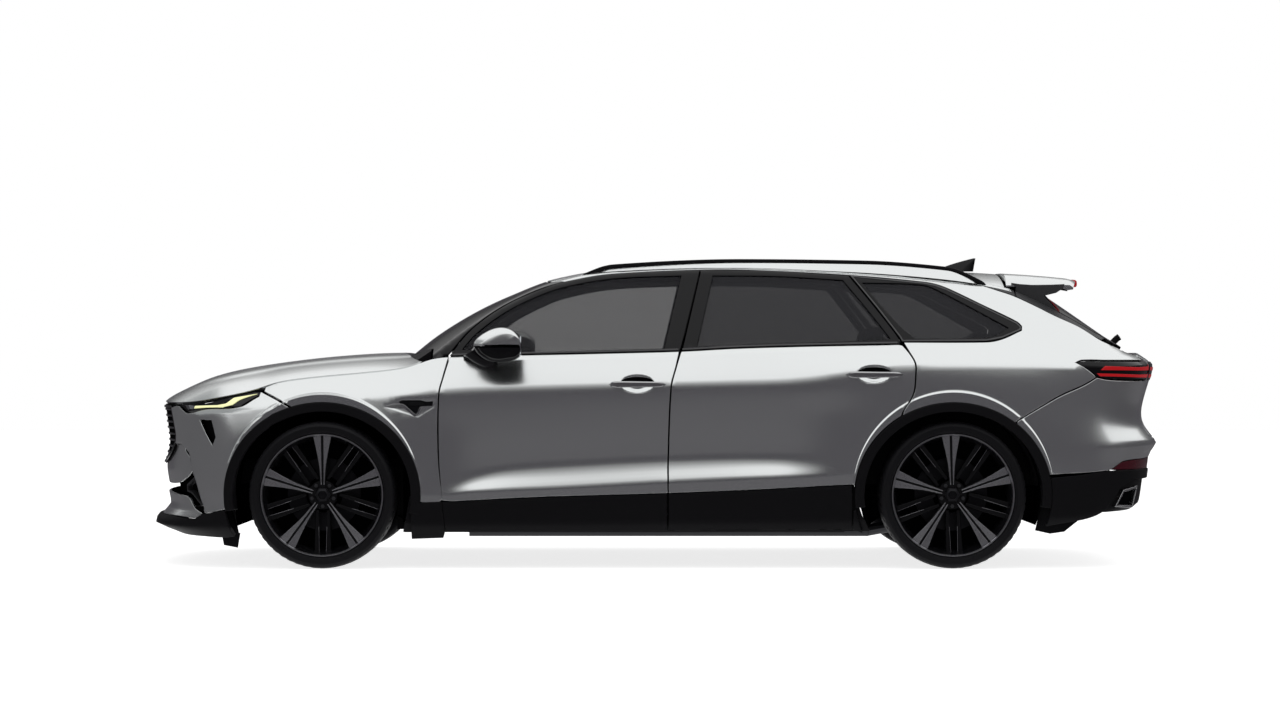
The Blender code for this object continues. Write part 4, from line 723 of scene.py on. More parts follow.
# ---------------------------------------------------------------- studio
def seen_directly(nodes, link):
    """One where a ray comes from the camera, a mirror or a pane, and nought elsewhere."""
    path = add_node(nodes, "LightPath")
    total = path.outputs["Is Camera Ray"]
    for name in ("Is Glossy Ray", "Is Transmission Ray"):
        add = add_node(nodes, "Math")
        add.operation = "ADD"
        add.use_clamp = True
        link(total, add.inputs[0])
        link(path.outputs[name], add.inputs[1])
        total = add.outputs[0]
    return total


def dark_card(name, place, along, up, shade, fade=None):
    """A grey wall that only mirrors see: it gives the flanks their dark reflection, and may brighten upward."""
    centre, along, up = Vector(place), Vector(along), Vector(up)
    mesh = bpy.data.meshes.new(name)
    mesh.from_pydata([centre - along - up, centre + along - up, centre + along + up, centre - along + up], [],
                     [(0, 1, 2, 3)])
    mat = bpy.data.materials.new(name)
    nodes, link = node_tree(mat)
    glow = add_node(nodes, "Emission", Color=(*shade, 1), Strength=1.0)
    if fade:
        spot, split = add_node(nodes, "TexCoord"), add_node(nodes, "SeparateXYZ")
        span = add_node(nodes, "MapRange", **dict(zip(("From_Min", "From_Max", "To_Min", "To_Max"), fade)))
        link(spot.outputs["Object"], split.inputs["Vector"])
        link(split.outputs["Z"], span.inputs["Value"])
        link(span.outputs["Result"], glow.inputs["Strength"])
    link(glow.outputs["Emission"], nodes["Material Output"].inputs["Surface"])
    mesh.materials.append(mat)
    card = bpy.data.objects.new(name, mesh)
    bpy.context.scene.collection.objects.link(card)
    card.visible_camera = card.visible_diffuse = card.visible_shadow = card.visible_transmission = False


LENS, CAMERA_AT = 92.8, (-0.073, -16.97, 1.015)
CARD_OUT, CARD_LONG = 7.0, 9.0          # how far the side cards stand off, and half their length


def studio():
    """The camera, an overhead lamp, a world that is white where it is seen, and the cards."""
    scene = bpy.context.scene
    world = scene.world = bpy.data.worlds.new("studio")
    nodes, link = node_tree(world)
    back = nodes["Background"]
    back.inputs["Color"].default_value = (1, 1, 1, 1)
    back.inputs["Strength"].default_value = 0.50
    white = add_node(nodes, "Background", Color=(1, 1, 1, 1), Strength=1.0)
    mix = add_node(nodes, "MixShader")
    link(seen_directly(nodes, link), mix.inputs["Fac"])
    link(back.outputs["Background"], mix.inputs[1])
    link(white.outputs["Background"], mix.inputs[2])
    link(mix.outputs["Shader"], nodes["World Output"].inputs["Surface"])

    data = bpy.data.cameras.new("camera")
    data.lens, data.sensor_width, data.clip_end = LENS, 36.0, 100.0
    camera = scene.camera = bpy.data.objects.new("camera", data)
    camera.location = CAMERA_AT
    camera.rotation_euler = (math.radians(90), 0, 0)
    scene.collection.objects.link(camera)

    data = bpy.data.lights.new("overhead", "AREA")
    data.shape, data.energy = "RECTANGLE", 90
    data.size, data.size_y = 9.0, 5.0
    lamp = bpy.data.objects.new("overhead", data)
    lamp.location = (0.0, -1.0, 5.0)
    lamp.rotation_euler = (Vector((0, 0, 0.6)) - lamp.location).to_track_quat("-Z", "Y").to_euler()
    lamp.visible_glossy = False
    scene.collection.objects.link(lamp)

    for side_name, side in SIDES.items():
        long = (CARD_LONG, 0, 0)
        dark_card(f"card_{side_name}", (0.0, side * CARD_OUT, 1.25), long, (0, 0, 1.25), (0.083, 0.079, 0.087))
        dark_card(f"card_over_{side_name}", (0.0, side * CARD_OUT, 3.75), long, (0, 0, 1.25), (1.0, 1.0, 1.0),
                  (2.5, 5.2, 0.085, 0.62))
        dark_card(f"apron_{side_name}", (0.0, side * 4.1, 0.004), long, (0, 2.9, 0), (0.125, 0.121, 0.128))
    dark_card("card_front", (-9.0, 0.0, 1.80), (0, 7.0, 0), (0, 0, 1.80), (0.115, 0.112, 0.118))
    dark_card("card_rear", (9.0, 0.0, 1.80), (0, 7.0, 0), (0, 0, 1.80), (0.085, 0.082, 0.088))
    for name, x in (("front", -5.9), ("rear", 5.9)):
        dark_card(f"apron_{name}", (x, 0.0, 0.003), (3.2, 0, 0), (0, 1.2, 0), (0.12, 0.116, 0.122))
    dark_card("card_above", (-6.3, 0.0, 3.6), (2.6, 0, 0), (0, 4.0, 0), (0.34, 0.35, 0.35))
    scene.view_settings.view_transform = "Standard"


def floor():
    """A wide white floor that glows where it is seen, so that it leaves only a faint shadow."""
    bm = bmesh.new()
    bmesh.ops.create_grid(bm, x_segments=1, y_segments=1, size=30.0)
    mesh = bpy.data.meshes.new("floor")
    bm.to_mesh(mesh)
    bm.free()
    mat = bpy.data.materials.new("floor_white")
    nodes, link = node_tree(mat)
    shader = nodes["Principled BSDF"]
    shader.inputs["Base Color"].default_value = (0.8, 0.8, 0.8, 1)
    shader.inputs["Roughness"].default_value = 0.9
    white, none = (add_node(nodes, "Emission", Strength=strength) for strength in (0.80, 0.0))
    mix, total = add_node(nodes, "MixShader"), add_node(nodes, "AddShader")
    link(seen_directly(nodes, link), mix.inputs["Fac"])
    link(none.outputs["Emission"], mix.inputs[1])
    link(white.outputs["Emission"], mix.inputs[2])
    link(shader.outputs["BSDF"], total.inputs[0])
    link(mix.outputs["Shader"], total.inputs[1])
    link(total.outputs["Shader"], nodes["Material Output"].inputs["Surface"])
    mesh.materials.append(mat)
    thing = bpy.data.objects.new("floor", mesh)
    bpy.context.scene.collection.objects.link(thing)


# ---------------------------------------------------------------- the panels
def oval(axle, half, start, end, steps=60):
    """Points of an oval round an axle from one angle to another, in degrees from +X upwards."""
    angles = [math.radians(start + (end - start) * k / steps) for k in range(steps + 1)]
    return [(axle + half[0] * math.cos(a), AXLE_Z + half[1] * math.sin(a)) for a in angles]


def belt_line(start, end, drop=0.0, steps=24):
    """Points of the belt in side view from one x to another, lowered a little."""
    xs = np.linspace(start, end, steps)
    zs = belt_at(belt_u(xs))[:, 2]
    return [(float(x), float(z - drop)) for x, z in zip(xs, zs)]


def row_line(row, start, end, rise=0.0, steps=20):
    """Points of one of the skin's rows in side view from one x to another, raised a little."""
    xs = np.linspace(start, end, steps)
    return [(float(x), float(z + rise)) for x, z in zip(xs, sampled(TUB_ROWS[row], 1, xs))]


LINE = 0.0015                      # half the gap between fixed panels
MOULD = tuple(half + LINE for half in ARCH_OUT)
FRONT_DOOR_TOP = [(-1.000, 1.038), (-0.900, 1.162), (-0.758, 1.270), (-0.610, 1.344), (-0.455, 1.398),
                  (-0.204, 1.440), (0.221, 1.459), (0.126, 1.074)]
REAR_DOOR_TOP = [(0.229, 1.459), (0.600, 1.453), (0.953, 1.432), (1.080, 1.270), (1.185, 1.128), (1.197, 1.096)]
QUARTER_EDGE = [(0.962, 1.432), (1.088, 1.270), (1.196, 1.124), (1.206, 1.104), (1.620, 1.107), (1.700, 1.122),
                (1.795, 1.162), (1.797, 1.180), (1.776, 1.200), (1.600, 1.288), (1.436, 1.368), (1.380, 1.388),
                (1.324, 1.399)]


def build_side(side_name):
    """One side's doors, windows, sills, rear quarter, windscreen pillar, wing and arch mouldings."""
    side = SIDES[side_name]
    place, shell = on_side(side), on_shell(side)

    def make(name, outline, finish, body="body_shell", mapping=place, fill=side_fill, **more):
        lay(f"{name}_{side_name}", mapping, outline, finish, body, fill=fill, margin=0.02, outward=(0, side, 0), **more)

    def pane(name, window, finish, body="body_shell"):
        make(name, grown(window, -0.001), finish, body, fill=even_points, start=0.006, thick=0.005, edge=0.001,
             stands_for=f"{name}_{side_name}")

    door = f"front_door_{side_name}"
    top = belt_line(-1.000, 0.1170, 0.002)
    front = [(-1.034, 0.333), (-1.0495, 0.560), (-1.047, 0.850), (-1.026, 0.940)]
    rear = [(x - 0.001, z) for x, z in B_LINE]
    low = row_line("cladding", -1.034, 0.060, 0.004)
    make("front_door_skin", front + top + rear + low[::-1][:-1], PAINT, door, stands_for=door)
    make("front_door_sill", [(-1.018, 0.182), (-1.034, 0.326)] + row_line("cladding", -1.034, 0.060, -0.001)[1:]
         + [(0.060, 0.186)], PLASTIC, door, start=-0.004, thick=0.035)
    frame_edge = FRONT_DOOR_TOP + belt_line(-0.995, 0.118, -0.002)[::-1]
    make("front_door_frame", frame_edge, BLACK_GLOSS, door, holes=[FRONT_WINDOW], fill=even_points, thick=0.040)
    pane("front_door_glass", FRONT_WINDOW, GLASS_DARK, door)

    door = f"rear_door_{side_name}"
    top = belt_line(0.1290, 1.190, 0.002)
    front = [(x + GAP, z) for x, z in reversed(B_LINE)]
    rear = [(1.208, 1.085), (1.236, 1.048), (1.260, 1.000), (1.262, 0.950), (1.250, 0.850), (1.200, 0.765)]
    rear += oval(REAR_AXLE_X, (ARCH_OUT[0] + 0.004, ARCH_OUT[1] + 0.004), 122, 175, 24)
    low = row_line("cladding", 0.067, 0.962, 0.004)
    make("rear_door_skin", front + top + rear + low[::-1], PAINT, door, stands_for=door)
    make("quarter_sill", [(0.9625, 0.192), (0.9635, 0.280)] + oval(REAR_AXLE_X, MOULD, 189, 204, 10), PLASTIC,
         start=-0.004, thick=0.030)
    make("rear_door_sill", [(0.067, 0.187)] + row_line("cladding", 0.067, 0.958, -0.001) + [(0.955, 0.192)],
         PLASTIC, door, start=-0.004, thick=0.035)
    frame_edge = REAR_DOOR_TOP + belt_line(0.134, 1.190, -0.002)[::-1]
    make("rear_door_frame", frame_edge, BLACK_GLOSS, door, holes=[REAR_WINDOW], fill=even_points, thick=0.040)
    pane("rear_door_glass", REAR_WINDOW, GLASS_REAR, door)

    make("rocker", [(-1.225, 0.162), (1.045, 0.166), (0.992, 0.300), (0.990, 0.420), (-1.190, 0.350)], PLASTIC,
         start=0.024, thick=0.010, fill=even_points)
    # a lighter strip along each door's sill: a painted highlight of the sill's fold
    for body, start, end in (("front_door", -1.000, 0.052), ("rear_door", 0.072, 0.940)):
        low, high = (0.220 + 0.012 * (x + 1.0) for x in (start, end))
        line = [(start, low - 0.004), (end, high - 0.006), (end, high + 0.006),
                (start, low + (0.003 if start < 0 else 0.006))]
        make(f"{body}_line", line, SILL_HIGHLIGHT, f"{body}_{side_name}", start=-0.001, thick=0.004, edge=0.001,
             smooth=False, fill=even_points)

    # fixed window and its surround
    make("quarter_frame", QUARTER_EDGE, BLACK_GLOSS, holes=[QUARTER_WINDOW], fill=even_points, thick=0.030)
    make("quarter_strip", grown(QUARTER_EDGE, -0.0015), BELT_GREY, holes=[grown(QUARTER_EDGE, -0.0085)], fill=(),
         start=-0.002, thick=0.006, edge=0.001, smooth=False)
    pane("quarter_glass", QUARTER_WINDOW, GLASS_REAR)

    # rear quarter with the roof's side, one sheet from the lamp to the windscreen
    outline = [(1.2155, 1.101), (1.243, 1.051), (1.267, 1.000), (1.269, 0.950), (1.257, 0.850), (1.208, 0.768)]
    outline += oval(REAR_AXLE_X, MOULD, 121, 51.5, 24)
    outline += [(1.760, 0.724), (2.148, 0.932), (2.046, 1.003), (2.078, 1.016), (2.200, 1.016), (2.330, 1.016)]
    hip = shell_outline(outline)
    for z in (1.016, 1.050, 1.076):
        u = U_TAIL - tail_place(0.608, z)
        hip.append((u, z - belt_z(u)))
    over = [(2.213, 1.106), (2.102, 1.174), (2.001, 1.221), (1.900, 1.271), (1.781, 1.327), (1.680, 1.362),
            (1.588, 1.391), (1.766, ("w", 0.640)), (1.766, ("w", 0.608))]
    over += [(x, ("w", 0.608)) for x in np.linspace(1.60, -0.40, 20)]
    over += [(-0.520, ("w", 0.631)), (-0.447, 1.402), (-0.204, 1.4425), (0.222, 1.462), (0.600, 1.456),
             (0.953, 1.436)]
    over += [(1.326, 1.402), (1.382, 1.391), (1.438, 1.371), (1.602, 1.291), (1.779, 1.203), (1.801, 1.182),
             (1.799, 1.160), (1.702, 1.118), (1.620, 1.103)]
    hip += shell_outline(over)
    fill = shell_points(side_fill((0.9, 0.2), (3.2, 1.2))) + even_points((-0.6, 0.004), (2.6, 0.75), 0.026)
    make("quarter_panel", hip, PAINT, mapping=shell, fill=fill, thick=0.012, stands_for=f"body_side_{side_name}")

    # pillar beside the windscreen
    pillar = [(x, ("w", w + 0.003)) for x, w in WINDSCREEN_PLAN[3:7]] + [(-0.452, 1.400)]
    pillar += [(-0.613, 1.3475), (-0.762, 1.2735), (-0.906, 1.165), (-1.008, 1.040), (-1.085, 1.012)]
    make("windscreen_pillar", shell_outline(pillar), BLACK_GLOSS, mapping=shell, fill=even_points, thick=0.012)

    # front wing
    wing = [(-1.034, 0.338), (-1.0555, 0.560), (-1.053, 0.850), (-1.032, 0.940), (-1.008, 1.030)]
    wing += belt_line(-1.020, -1.900, 0.003, 40)
    wing += [(-1.906, 0.862)] + oval(FRONT_AXLE_X, MOULD, 108, -4, 50)
    wing += row_line("cladding", -1.120, -1.045, 0.003, 4)
    wing = side_outline(wing)
    scoop = [(-1.325, 0.788), (-1.229, 0.830), (-1.060, 0.824), (-1.060, 0.786), (-1.150, 0.732), (-1.30, 0.780)]
    make("wing_skin", wing, PAINT, thick=0.012, mapping=recessed(place, scoop, 0.003, 0.012),
         fill=lambda low, high: side_fill(low, high) + slope_lines(scoop, (0.0, 0.004, 0.008, 0.012), 0.012),
         stands_for=f"front_wing_{side_name}")
    make("wing_sill", [(-1.184, 0.145), (-1.186, 0.300), (-1.150, 0.318), (-1.036, 0.326), (-1.022, 0.180),
                       (-1.030, 0.150)], PLASTIC, start=-0.004, thick=0.030)
    for end, first, last in (("front", -12, 190), ("rear", -8, 188)):
        ring = oval(AXLES[end], ARCH_OUT, first, last, 70) + oval(AXLES[end], ARCH_IN, last, first, 70)
        make(f"{end}_arch_moulding", side_outline(ring), PLASTIC, start=-0.006, thick=0.045, edge=0.004)


def tail_place(w, z):
    """Distance round from the middle of the tail to a half width at a height."""
    return float(bisected(np.zeros(1), np.full(1, REAR_ARC), lambda v: tub_at(U_TAIL - v, np.array([z]))[1] < w)[0])


def mirrored_plan(half):
    """A closed outline in plan from its half on one side."""
    return half + [(x, -w) for x, w in reversed(half) if w > 1e-6]


def build_top():
    """The windscreen, the roof, and the tailgate's glass with its frame."""
    def make(name, outline, finish, body="body_shell", **more):
        lay(name, on_top, outline, finish, body, fill=lambda low, high: even_points(low, high, 0.035), **more)

    make("windscreen", grown(mirrored_plan(WINDSCREEN_PLAN), -0.002), PANE_BLACK, start=0.002, thick=0.006,
         edge=0.0015, stands_for="windscreen")
    front = [(-0.545, 0.0), (-0.538, 0.35), (-0.513, 0.606)]
    roof = [(1.735, 0.0), (1.735, 0.605)] + [(x, 0.605) for x in np.linspace(1.6, -0.35, 12)] + front[::-1]
    make("roof_skin", mirrored_plan(roof), PAINT, thick=0.012, stands_for="roof")
    window = mirrored_plan(TAILGATE_GLASS_PLAN)
    make("tailgate_glass", grown(window, -0.001), PANE_BLACK, "tailgate", start=0.004, thick=0.005, edge=0.001,
         stands_for="tailgate_glass")
    edge = [(1.90, 0.0), (1.90, 0.597), (2.20, 0.597), (2.285, 0.590), (2.322, 0.540), (2.328, 0.30), (2.330, 0.0)]
    make("tailgate_frame", mirrored_plan(edge), BLACK_GLOSS, "tailgate", holes=[window], thick=0.02)


BONNET_CROWN = [(-2.494, 0.797), (-2.470, 0.820), (-2.400, 0.860), (-2.200, 0.938), (-1.900, 0.994),
                (-1.569, 1.031), (-1.351, 1.044), (-1.120, 1.048)]
FRONT_BELT = TUB[:400, -1]              # the belt from the nose back past the bonnet


def on_bonnet(points):
    """A map from (x, y) to the bonnet, which falls from its crown to the belt, with a low dome in the middle."""
    x, y = points[:, 0], points[:, 1]
    w = np.maximum(np.interp(x, FRONT_BELT[:, 0], FRONT_BELT[:, 1]), 0.02)
    edge = np.interp(x, FRONT_BELT[:, 0], FRONT_BELT[:, 2])
    top = sampled(BONNET_CROWN, 1, x)
    s = np.clip(np.abs(y) / w, 0, 1.1)
    dome = 0.007 * step((0.70 - s) / 0.10) * step((x + 2.42) / 0.35)
    return np.stack([x, y, top - (top - edge) * s ** 3.2 + dome], axis=1)


def build_bonnet():
    """The bonnet's skin, whose edge follows the belt."""
    half = [(x, w) for x, w, _ in FRONT_BELT[::3] if x < -1.16 and w > 0.02] + [(-1.128, 0.8535)]
    half += [(-1.125 - 0.135 * (1 - s * s), s * 0.853) for s in np.linspace(1.0, 0.0, 12)[1:]]
    lay("bonnet_skin", on_bonnet, grown(mirrored_plan(half), -0.009), PAINT, "bonnet", "bonnet", even_points,
        thick=0.020, smooth=False, pitch=0.02)


# ---------------------------------------------------------------- nose and tail
def both(half):
    """A closed outline across the middle, from its half with positive first values."""
    return list(half) + [(-v, z) for v, z in reversed(half) if v > 1e-6]


def flipped(loop):
    """An outline on the other side of the middle."""
    return [(-v, z) for v, z in reversed(loop)]


NOSE_TURNS, TAIL_TURNS = {"left": list, "right": flipped}, {"left": flipped, "right": list}


def recessed(place, zone, deep, width):
    """The map with its surface let in inside a zone, down a slope of the given width."""
    zone = np.asarray(zone, float)

    def map_in(points):
        depth = deep * step(np.where(inside(points, zone), distance_to(points, zone), 0.0) / width)
        return place(points) - facing_out(place, points) * depth[:, None]
    return map_in


def slope_lines(zone, amounts, pitch):
    """Lines of points down the slope of a recess."""
    return [tuple(p) for amount in amounts for p in resampled(grown(zone, -amount), pitch, smooth=False)]


def facing_out(place, points):
    """The map's normals, turned away from the car's middle."""
    normal = normals_of(place, points)
    away = place(points) - np.array([0.0, 0.0, 0.6])
    return normal * np.sign((normal * away * (1, 1, 0.2)).sum(axis=1))[:, None]


ENDS = {"front": (U_NOSE, 1), "rear": (U_TAIL, -1)}


def arch_on_ring(end, start, stop, steps):
    """The moulding's edge between two angles, in the places of the nose or the tail."""
    tip, way = ENDS[end]
    points = side_outline(oval(AXLES[end], MOULD, start, stop, steps))
    return [(float(way * (u - tip)), float(z)) for u, z in points]


def ring_fill(end, low, high):
    """Even points, and those round the flare, in the places of the nose or the tail."""
    (tip, way), axle = ENDS[end], AXLES[end]
    even = np.asarray(even_points(low, high, 0.022), float)
    even = even[off_flare(np.stack([tip + way * np.abs(even[:, 0]), even[:, 1]], axis=1), axle)]
    rings = [(side * way * (u - tip), z) for u, z in oval_rings((axle, AXLE_Z), FLARE_OVAL[axle], RING_SHARES, 200)
             for side in (1, -1)]
    points = np.concatenate([even, rings])
    return [tuple(p) for p in points[((points > low) & (points < high)).all(axis=1)]]


def nose_fill(low, high):
    """The nose's fill between two corners."""
    return ring_fill("front", low, high)


def tail_fill(low, high):
    """The tail's fill between two corners."""
    return ring_fill("rear", low, high)


def build_nose():
    """The bumper's skin, grille, headlamps, intakes and splitter."""
    fold = [(0.629, 0.607), (0.762, 0.572), (0.826, 0.490), (0.860, 0.419), (0.883, 0.347), (0.922, 0.281)]
    inner = both([(0.0, 0.612)] + fold + [(0.930, 0.10), (0.0, 0.10)])
    let_in = recessed(on_nose, inner, 0.016, 0.014)

    def make(name, outline, finish, mapping=on_nose, fill=nose_fill, **more):
        lay(name, mapping, outline, finish, fill=fill, margin=0.01, outward=(-1, 0, 0), **more)

    grille = [(0.0, 0.500), (0.28, 0.503), (0.43, 0.540), (0.543, 0.612), (0.551, 0.657), (0.529, 0.727),
              (0.511, 0.778)]
    shut = [(1.304, 0.860)] + [p for p in arch_on_ring("front", 109.5, 196, 60) if p[1] > 0.284]
    outline = grille + [(0.640, 0.787), (0.755, 0.753), (0.944, 0.773), (1.200, 0.786), (1.297, 0.836)] + shut
    outline += [(1.069, 0.284), (0.951, 0.270), (0.925, 0.281), (0.886, 0.347), (0.863, 0.419), (0.822, 0.482),
                (0.765, 0.446), (0.56, 0.404), (0.0, 0.404)]
    nostril = [(0.885, 0.724), (0.993, 0.722), (1.025, 0.638), (1.001, 0.598), (0.934, 0.662)]
    slit = [(0.681, 0.580), (0.777, 0.540), (0.818, 0.490), (0.811, 0.488), (0.771, 0.531), (0.679, 0.573)]
    fill = nose_fill((-1.6, 0.2), (1.6, 0.9)) + slope_lines(inner, (0.0, 0.005, 0.010, 0.016), 0.014)
    make("nose_skin", both(outline), PAINT, let_in, fill, holes=[nostril, flipped(nostril), slit, flipped(slit)],
         thick=0.012, pitch=0.010, stands_for="front_bumper")
    for name, loop, deep in (("nostril", nostril, 0.030), ("nose_slit", slit, 0.020)):
        for side_name, turn in NOSE_TURNS.items():
            make(f"{name}_{side_name}", grown(turn(loop), 0.006), DARK, let_in, start=deep, thick=0.004, edge=0.001)

    # grille
    opening = grown(both(grille + [(0.500, 0.790), (0.0, 0.790)]), -0.002)
    make("grille_back", grown(opening, 0.004), DARK, start=0.008, thick=0.004, stands_for="grille")
    make("grille_rim", opening, BLACK_GLOSS, holes=[grown(opening, -0.012)], thick=0.030, edge=0.003)
    for k in range(9):
        level = 0.528 + 0.030 * k
        across = np.array([p for p in opening if p[0] > 0.02])
        across = across[np.argsort(across[:, 1])]
        reach = float(np.interp(level, across[:, 1], across[:, 0])) - 0.014
        bar = both([(0.0, level - 0.005), (reach, level - 0.005), (reach, level + 0.005), (0.0, level + 0.005)])
        make(f"grille_bar_{k}", bar, BLACK_GLOSS, start=0.003, thick=0.012, smooth=False)

    # lamps
    lamp = [(0.648, 0.795), (0.700, 0.779), (0.757, 0.760), (0.944, 0.780), (1.200, 0.793), (1.322, 0.860),
            (1.278, 0.864), (1.195, 0.848), (1.018, 0.8165), (0.900, 0.8015), (0.780, 0.7970)]
    strip = [(0.831, 0.779), (0.846, 0.791), (1.040, 0.796), (1.106, 0.804), (1.158, 0.832), (1.227, 0.842),
             (1.288, 0.852), (1.225, 0.834), (1.190, 0.822), (1.150, 0.800), (1.079, 0.788), (0.95, 0.785)]
    eye = [(0.762, 0.772), (0.825, 0.776), (0.838, 0.790), (0.790, 0.794), (0.735, 0.791)]
    for side_name, turn in NOSE_TURNS.items():
        make(f"headlamp_lens_{side_name}", grown(turn(lamp), -0.002), LAMP_BLACK, start=0.006, thick=0.020, edge=0.002,
             smooth=False, stands_for=f"headlamp_{side_name}")
        make(f"lamp_strip_{side_name}", turn(strip), DRL, start=0.002, thick=0.006, edge=0.001, smooth=False)
        make(f"lamp_eye_{side_name}", turn(eye), LAMP_EYE, start=0.002, thick=0.006, edge=0.001)

    # lower intake, lower panel and splitter
    intake = both([(0.0, 0.410), (0.56, 0.410), (0.765, 0.450), (0.825, 0.486), (0.868, 0.419), (0.892, 0.347),
                   (0.930, 0.278), (0.865, 0.270), (0.755, 0.330), (0.592, 0.345), (0.0, 0.345)])
    make("intake_back", intake, DARK, let_in, start=0.050, thick=0.004)
    for side_name, turn in NOSE_TURNS.items():
        bar = [(0.690, 0.366), (0.760, 0.352), (0.850, 0.300), (0.872, 0.305), (0.842, 0.392), (0.806, 0.440),
               (0.770, 0.425), (0.700, 0.400)]
        make(f"intake_ring_{side_name}", turn(bar), STEEL, let_in, holes=[grown(turn(bar), -0.010)], start=0.006,
             thick=0.030, edge=0.002)
    lower = [(0.0, 0.361), (0.580, 0.350), (0.737, 0.341), (0.792, 0.300), (0.914, 0.268), (0.880, 0.244),
             (0.588, 0.252), (0.0, 0.252)]
    make("nose_lower", both(lower), PAINT, start=0.006, thick=0.012)
    lip = [(0.0, 0.247), (0.588, 0.247), (0.880, 0.238), (0.925, 0.262), (0.955, 0.264), (1.069, 0.279),
           (1.100, 0.281)] + [p for p in arch_on_ring("front", 186, 214, 30) if 0.150 < p[1] < 0.280]
    lip += [(1.075, 0.150), (0.880, 0.153), (0.55, 0.156), (0.0, 0.160)]
    make("splitter", both(lip), PLASTIC, start=-0.004, thick=0.022, edge=0.004)
    for side_name, side in SIDES.items():
        fin = [(-2.120, 0.170), (-2.108, 0.110), (-2.040, 0.097), (-2.028, 0.170)]
        make(f"splitter_fin_{side_name}", fin, PLASTIC, upright(side * 0.835), (), thick=0.012, smooth=False)


def build_tail():
    """The tailgate's lower half with its light bar, the tail lamps, the bumper, reflectors and exhaust tips."""
    seam = lambda w, z: (tail_place(w, z), z)

    def make(name, outline, finish, body="body_shell", **more):
        lay(name, on_tail, outline, finish, body, fill=tail_fill, margin=0.01, outward=(1, 0, 0), **more)

    gate = [(0.0, 0.634), (0.25, 0.634)] + [seam(0.597, z) for z in (0.636, 0.70, 0.80, 0.90, 0.96, 1.005)]
    gate += [(tail_place(0.597, 1.04) + 0.004, 1.040), (0.30, 1.050), (0.0, 1.053)]
    make("tailgate_skin", both(gate), PAINT, "tailgate", thick=0.018, stands_for="tailgate")
    bar = [(0.0, 0.915), (0.25, 0.915), seam(0.592, 0.915), seam(0.592, 1.004), (0.25, 1.006), (0.0, 1.006)]
    make("tail_bar", both(bar), LAMP_BLACK, "tailgate", start=-0.003, thick=0.006, edge=0.002)
    for name, level in (("upper", 0.972), ("lower", 0.936)):
        line = [(0.0, level - 0.008), seam(0.588, level - 0.008), seam(0.588, level + 0.008), (0.0, level + 0.008)]
        make(f"tail_line_{name}", both(line), LAMP_RED, "tailgate", start=-0.0045, thick=0.0045, edge=0.001,
             smooth=False)

    lamp = [seam(0.604, 1.010), (0.90, 1.011), (1.085, 1.012), (1.130, 1.002), (1.026, 0.935), (0.96, 0.924),
            (0.80, 0.918), seam(0.604, 0.918)]
    for side_name, turn in TAIL_TURNS.items():
        make(f"tail_lens_{side_name}", grown(turn(lamp), -0.0015), LAMP_BLACK, start=0.003, thick=0.020, edge=0.002,
             smooth=False, stands_for=f"tail_lamp_{side_name}")
        upper = [seam(0.609, 0.984), (0.638, 0.980), (0.80, 0.982), (0.978, 0.986), (1.004, 0.966), (0.631, 0.963),
                 seam(0.609, 0.964)]
        lower = [seam(0.609, 0.944), (0.620, 0.943), (0.80, 0.946), (1.028, 0.950), (1.006, 0.936), (0.610, 0.929),
                 seam(0.609, 0.928)]
        for name, line in (("upper", upper), ("lower", lower)):
            make(f"tail_strip_{name}_{side_name}", turn(line), LAMP_RED, start=0.0, thick=0.006, edge=0.001,
                 smooth=False)

    arch = arch_on_ring("rear", 50.3, -22, 60)
    silver = [(0.0, 0.627), (0.25, 0.627), seam(0.606, 0.627)] + [seam(0.606, z) for z in (0.70, 0.80, 0.912)]
    silver += [(0.80, 0.912), (0.96, 0.918), (1.0245, 0.9278), (1.388, 0.7188)] + [p for p in arch if p[1] > 0.453]
    silver += [(0.930, 0.480), (0.918, 0.486), (0.822, 0.522), (0.50, 0.532), (0.232, 0.539),
               (0.205, 0.520), (0.190, 0.480), (0.0, 0.480)]
    make("tail_skin", both(silver), PAINT, thick=0.012, stands_for="rear_bumper")
    red = [(0.913, 0.482), (0.818, 0.517), (0.50, 0.528), (0.238, 0.534), (0.210, 0.515), (0.200, 0.476)]
    for side_name, turn in TAIL_TURNS.items():
        make(f"reflector_{side_name}", turn(red), LAMP_DULL, start=0.004, thick=0.015)
    dark = [(0.0, 0.474), (0.190, 0.474), (0.926, 0.474)] + [p for p in arch if 0.205 < p[1] < 0.447]
    dark += [(1.240, 0.208), (0.980, 0.272), (0.839, 0.384), (0.703, 0.426), (0.50, 0.430),
             (0.0, 0.430)]
    make("tail_cladding", both(dark), PLASTIC, start=-0.003, thick=0.022)
    valance = [(0.0, 0.425), (0.50, 0.425), (0.703, 0.421), (0.836, 0.378), (0.975, 0.266), (0.90, 0.262),
               (0.0, 0.262)]
    make("valance", both(valance), PLASTIC, start=0.020, thick=0.012)
    tip = [(0.610, 0.400), (0.800, 0.382), (0.872, 0.300), (0.650, 0.292)]
    for side_name, turn in TAIL_TURNS.items():
        make(f"exhaust_tip_{side_name}", turn(tip), CHROME, holes=[grown(turn(tip), -0.011)], start=-0.006,
             thick=0.034, edge=0.002, smooth=False)
        make(f"exhaust_mouth_{side_name}", grown(turn(tip), -0.009), DARK, start=0.016, thick=0.003, edge=0.001)


# ---------------------------------------------------------------- small forms
def from_bmesh(name, bm, finish, sharp):
    """A bmesh as an object, smooth where it bends by less than an angle in degrees, or flat."""
    mesh = bpy.data.meshes.new(name)
    bm.to_mesh(mesh)
    bm.free()
    if sharp:
        mesh.shade_smooth()
        mesh.set_sharp_from_angle(angle=math.radians(sharp))
    return linked(name, mesh, finish)


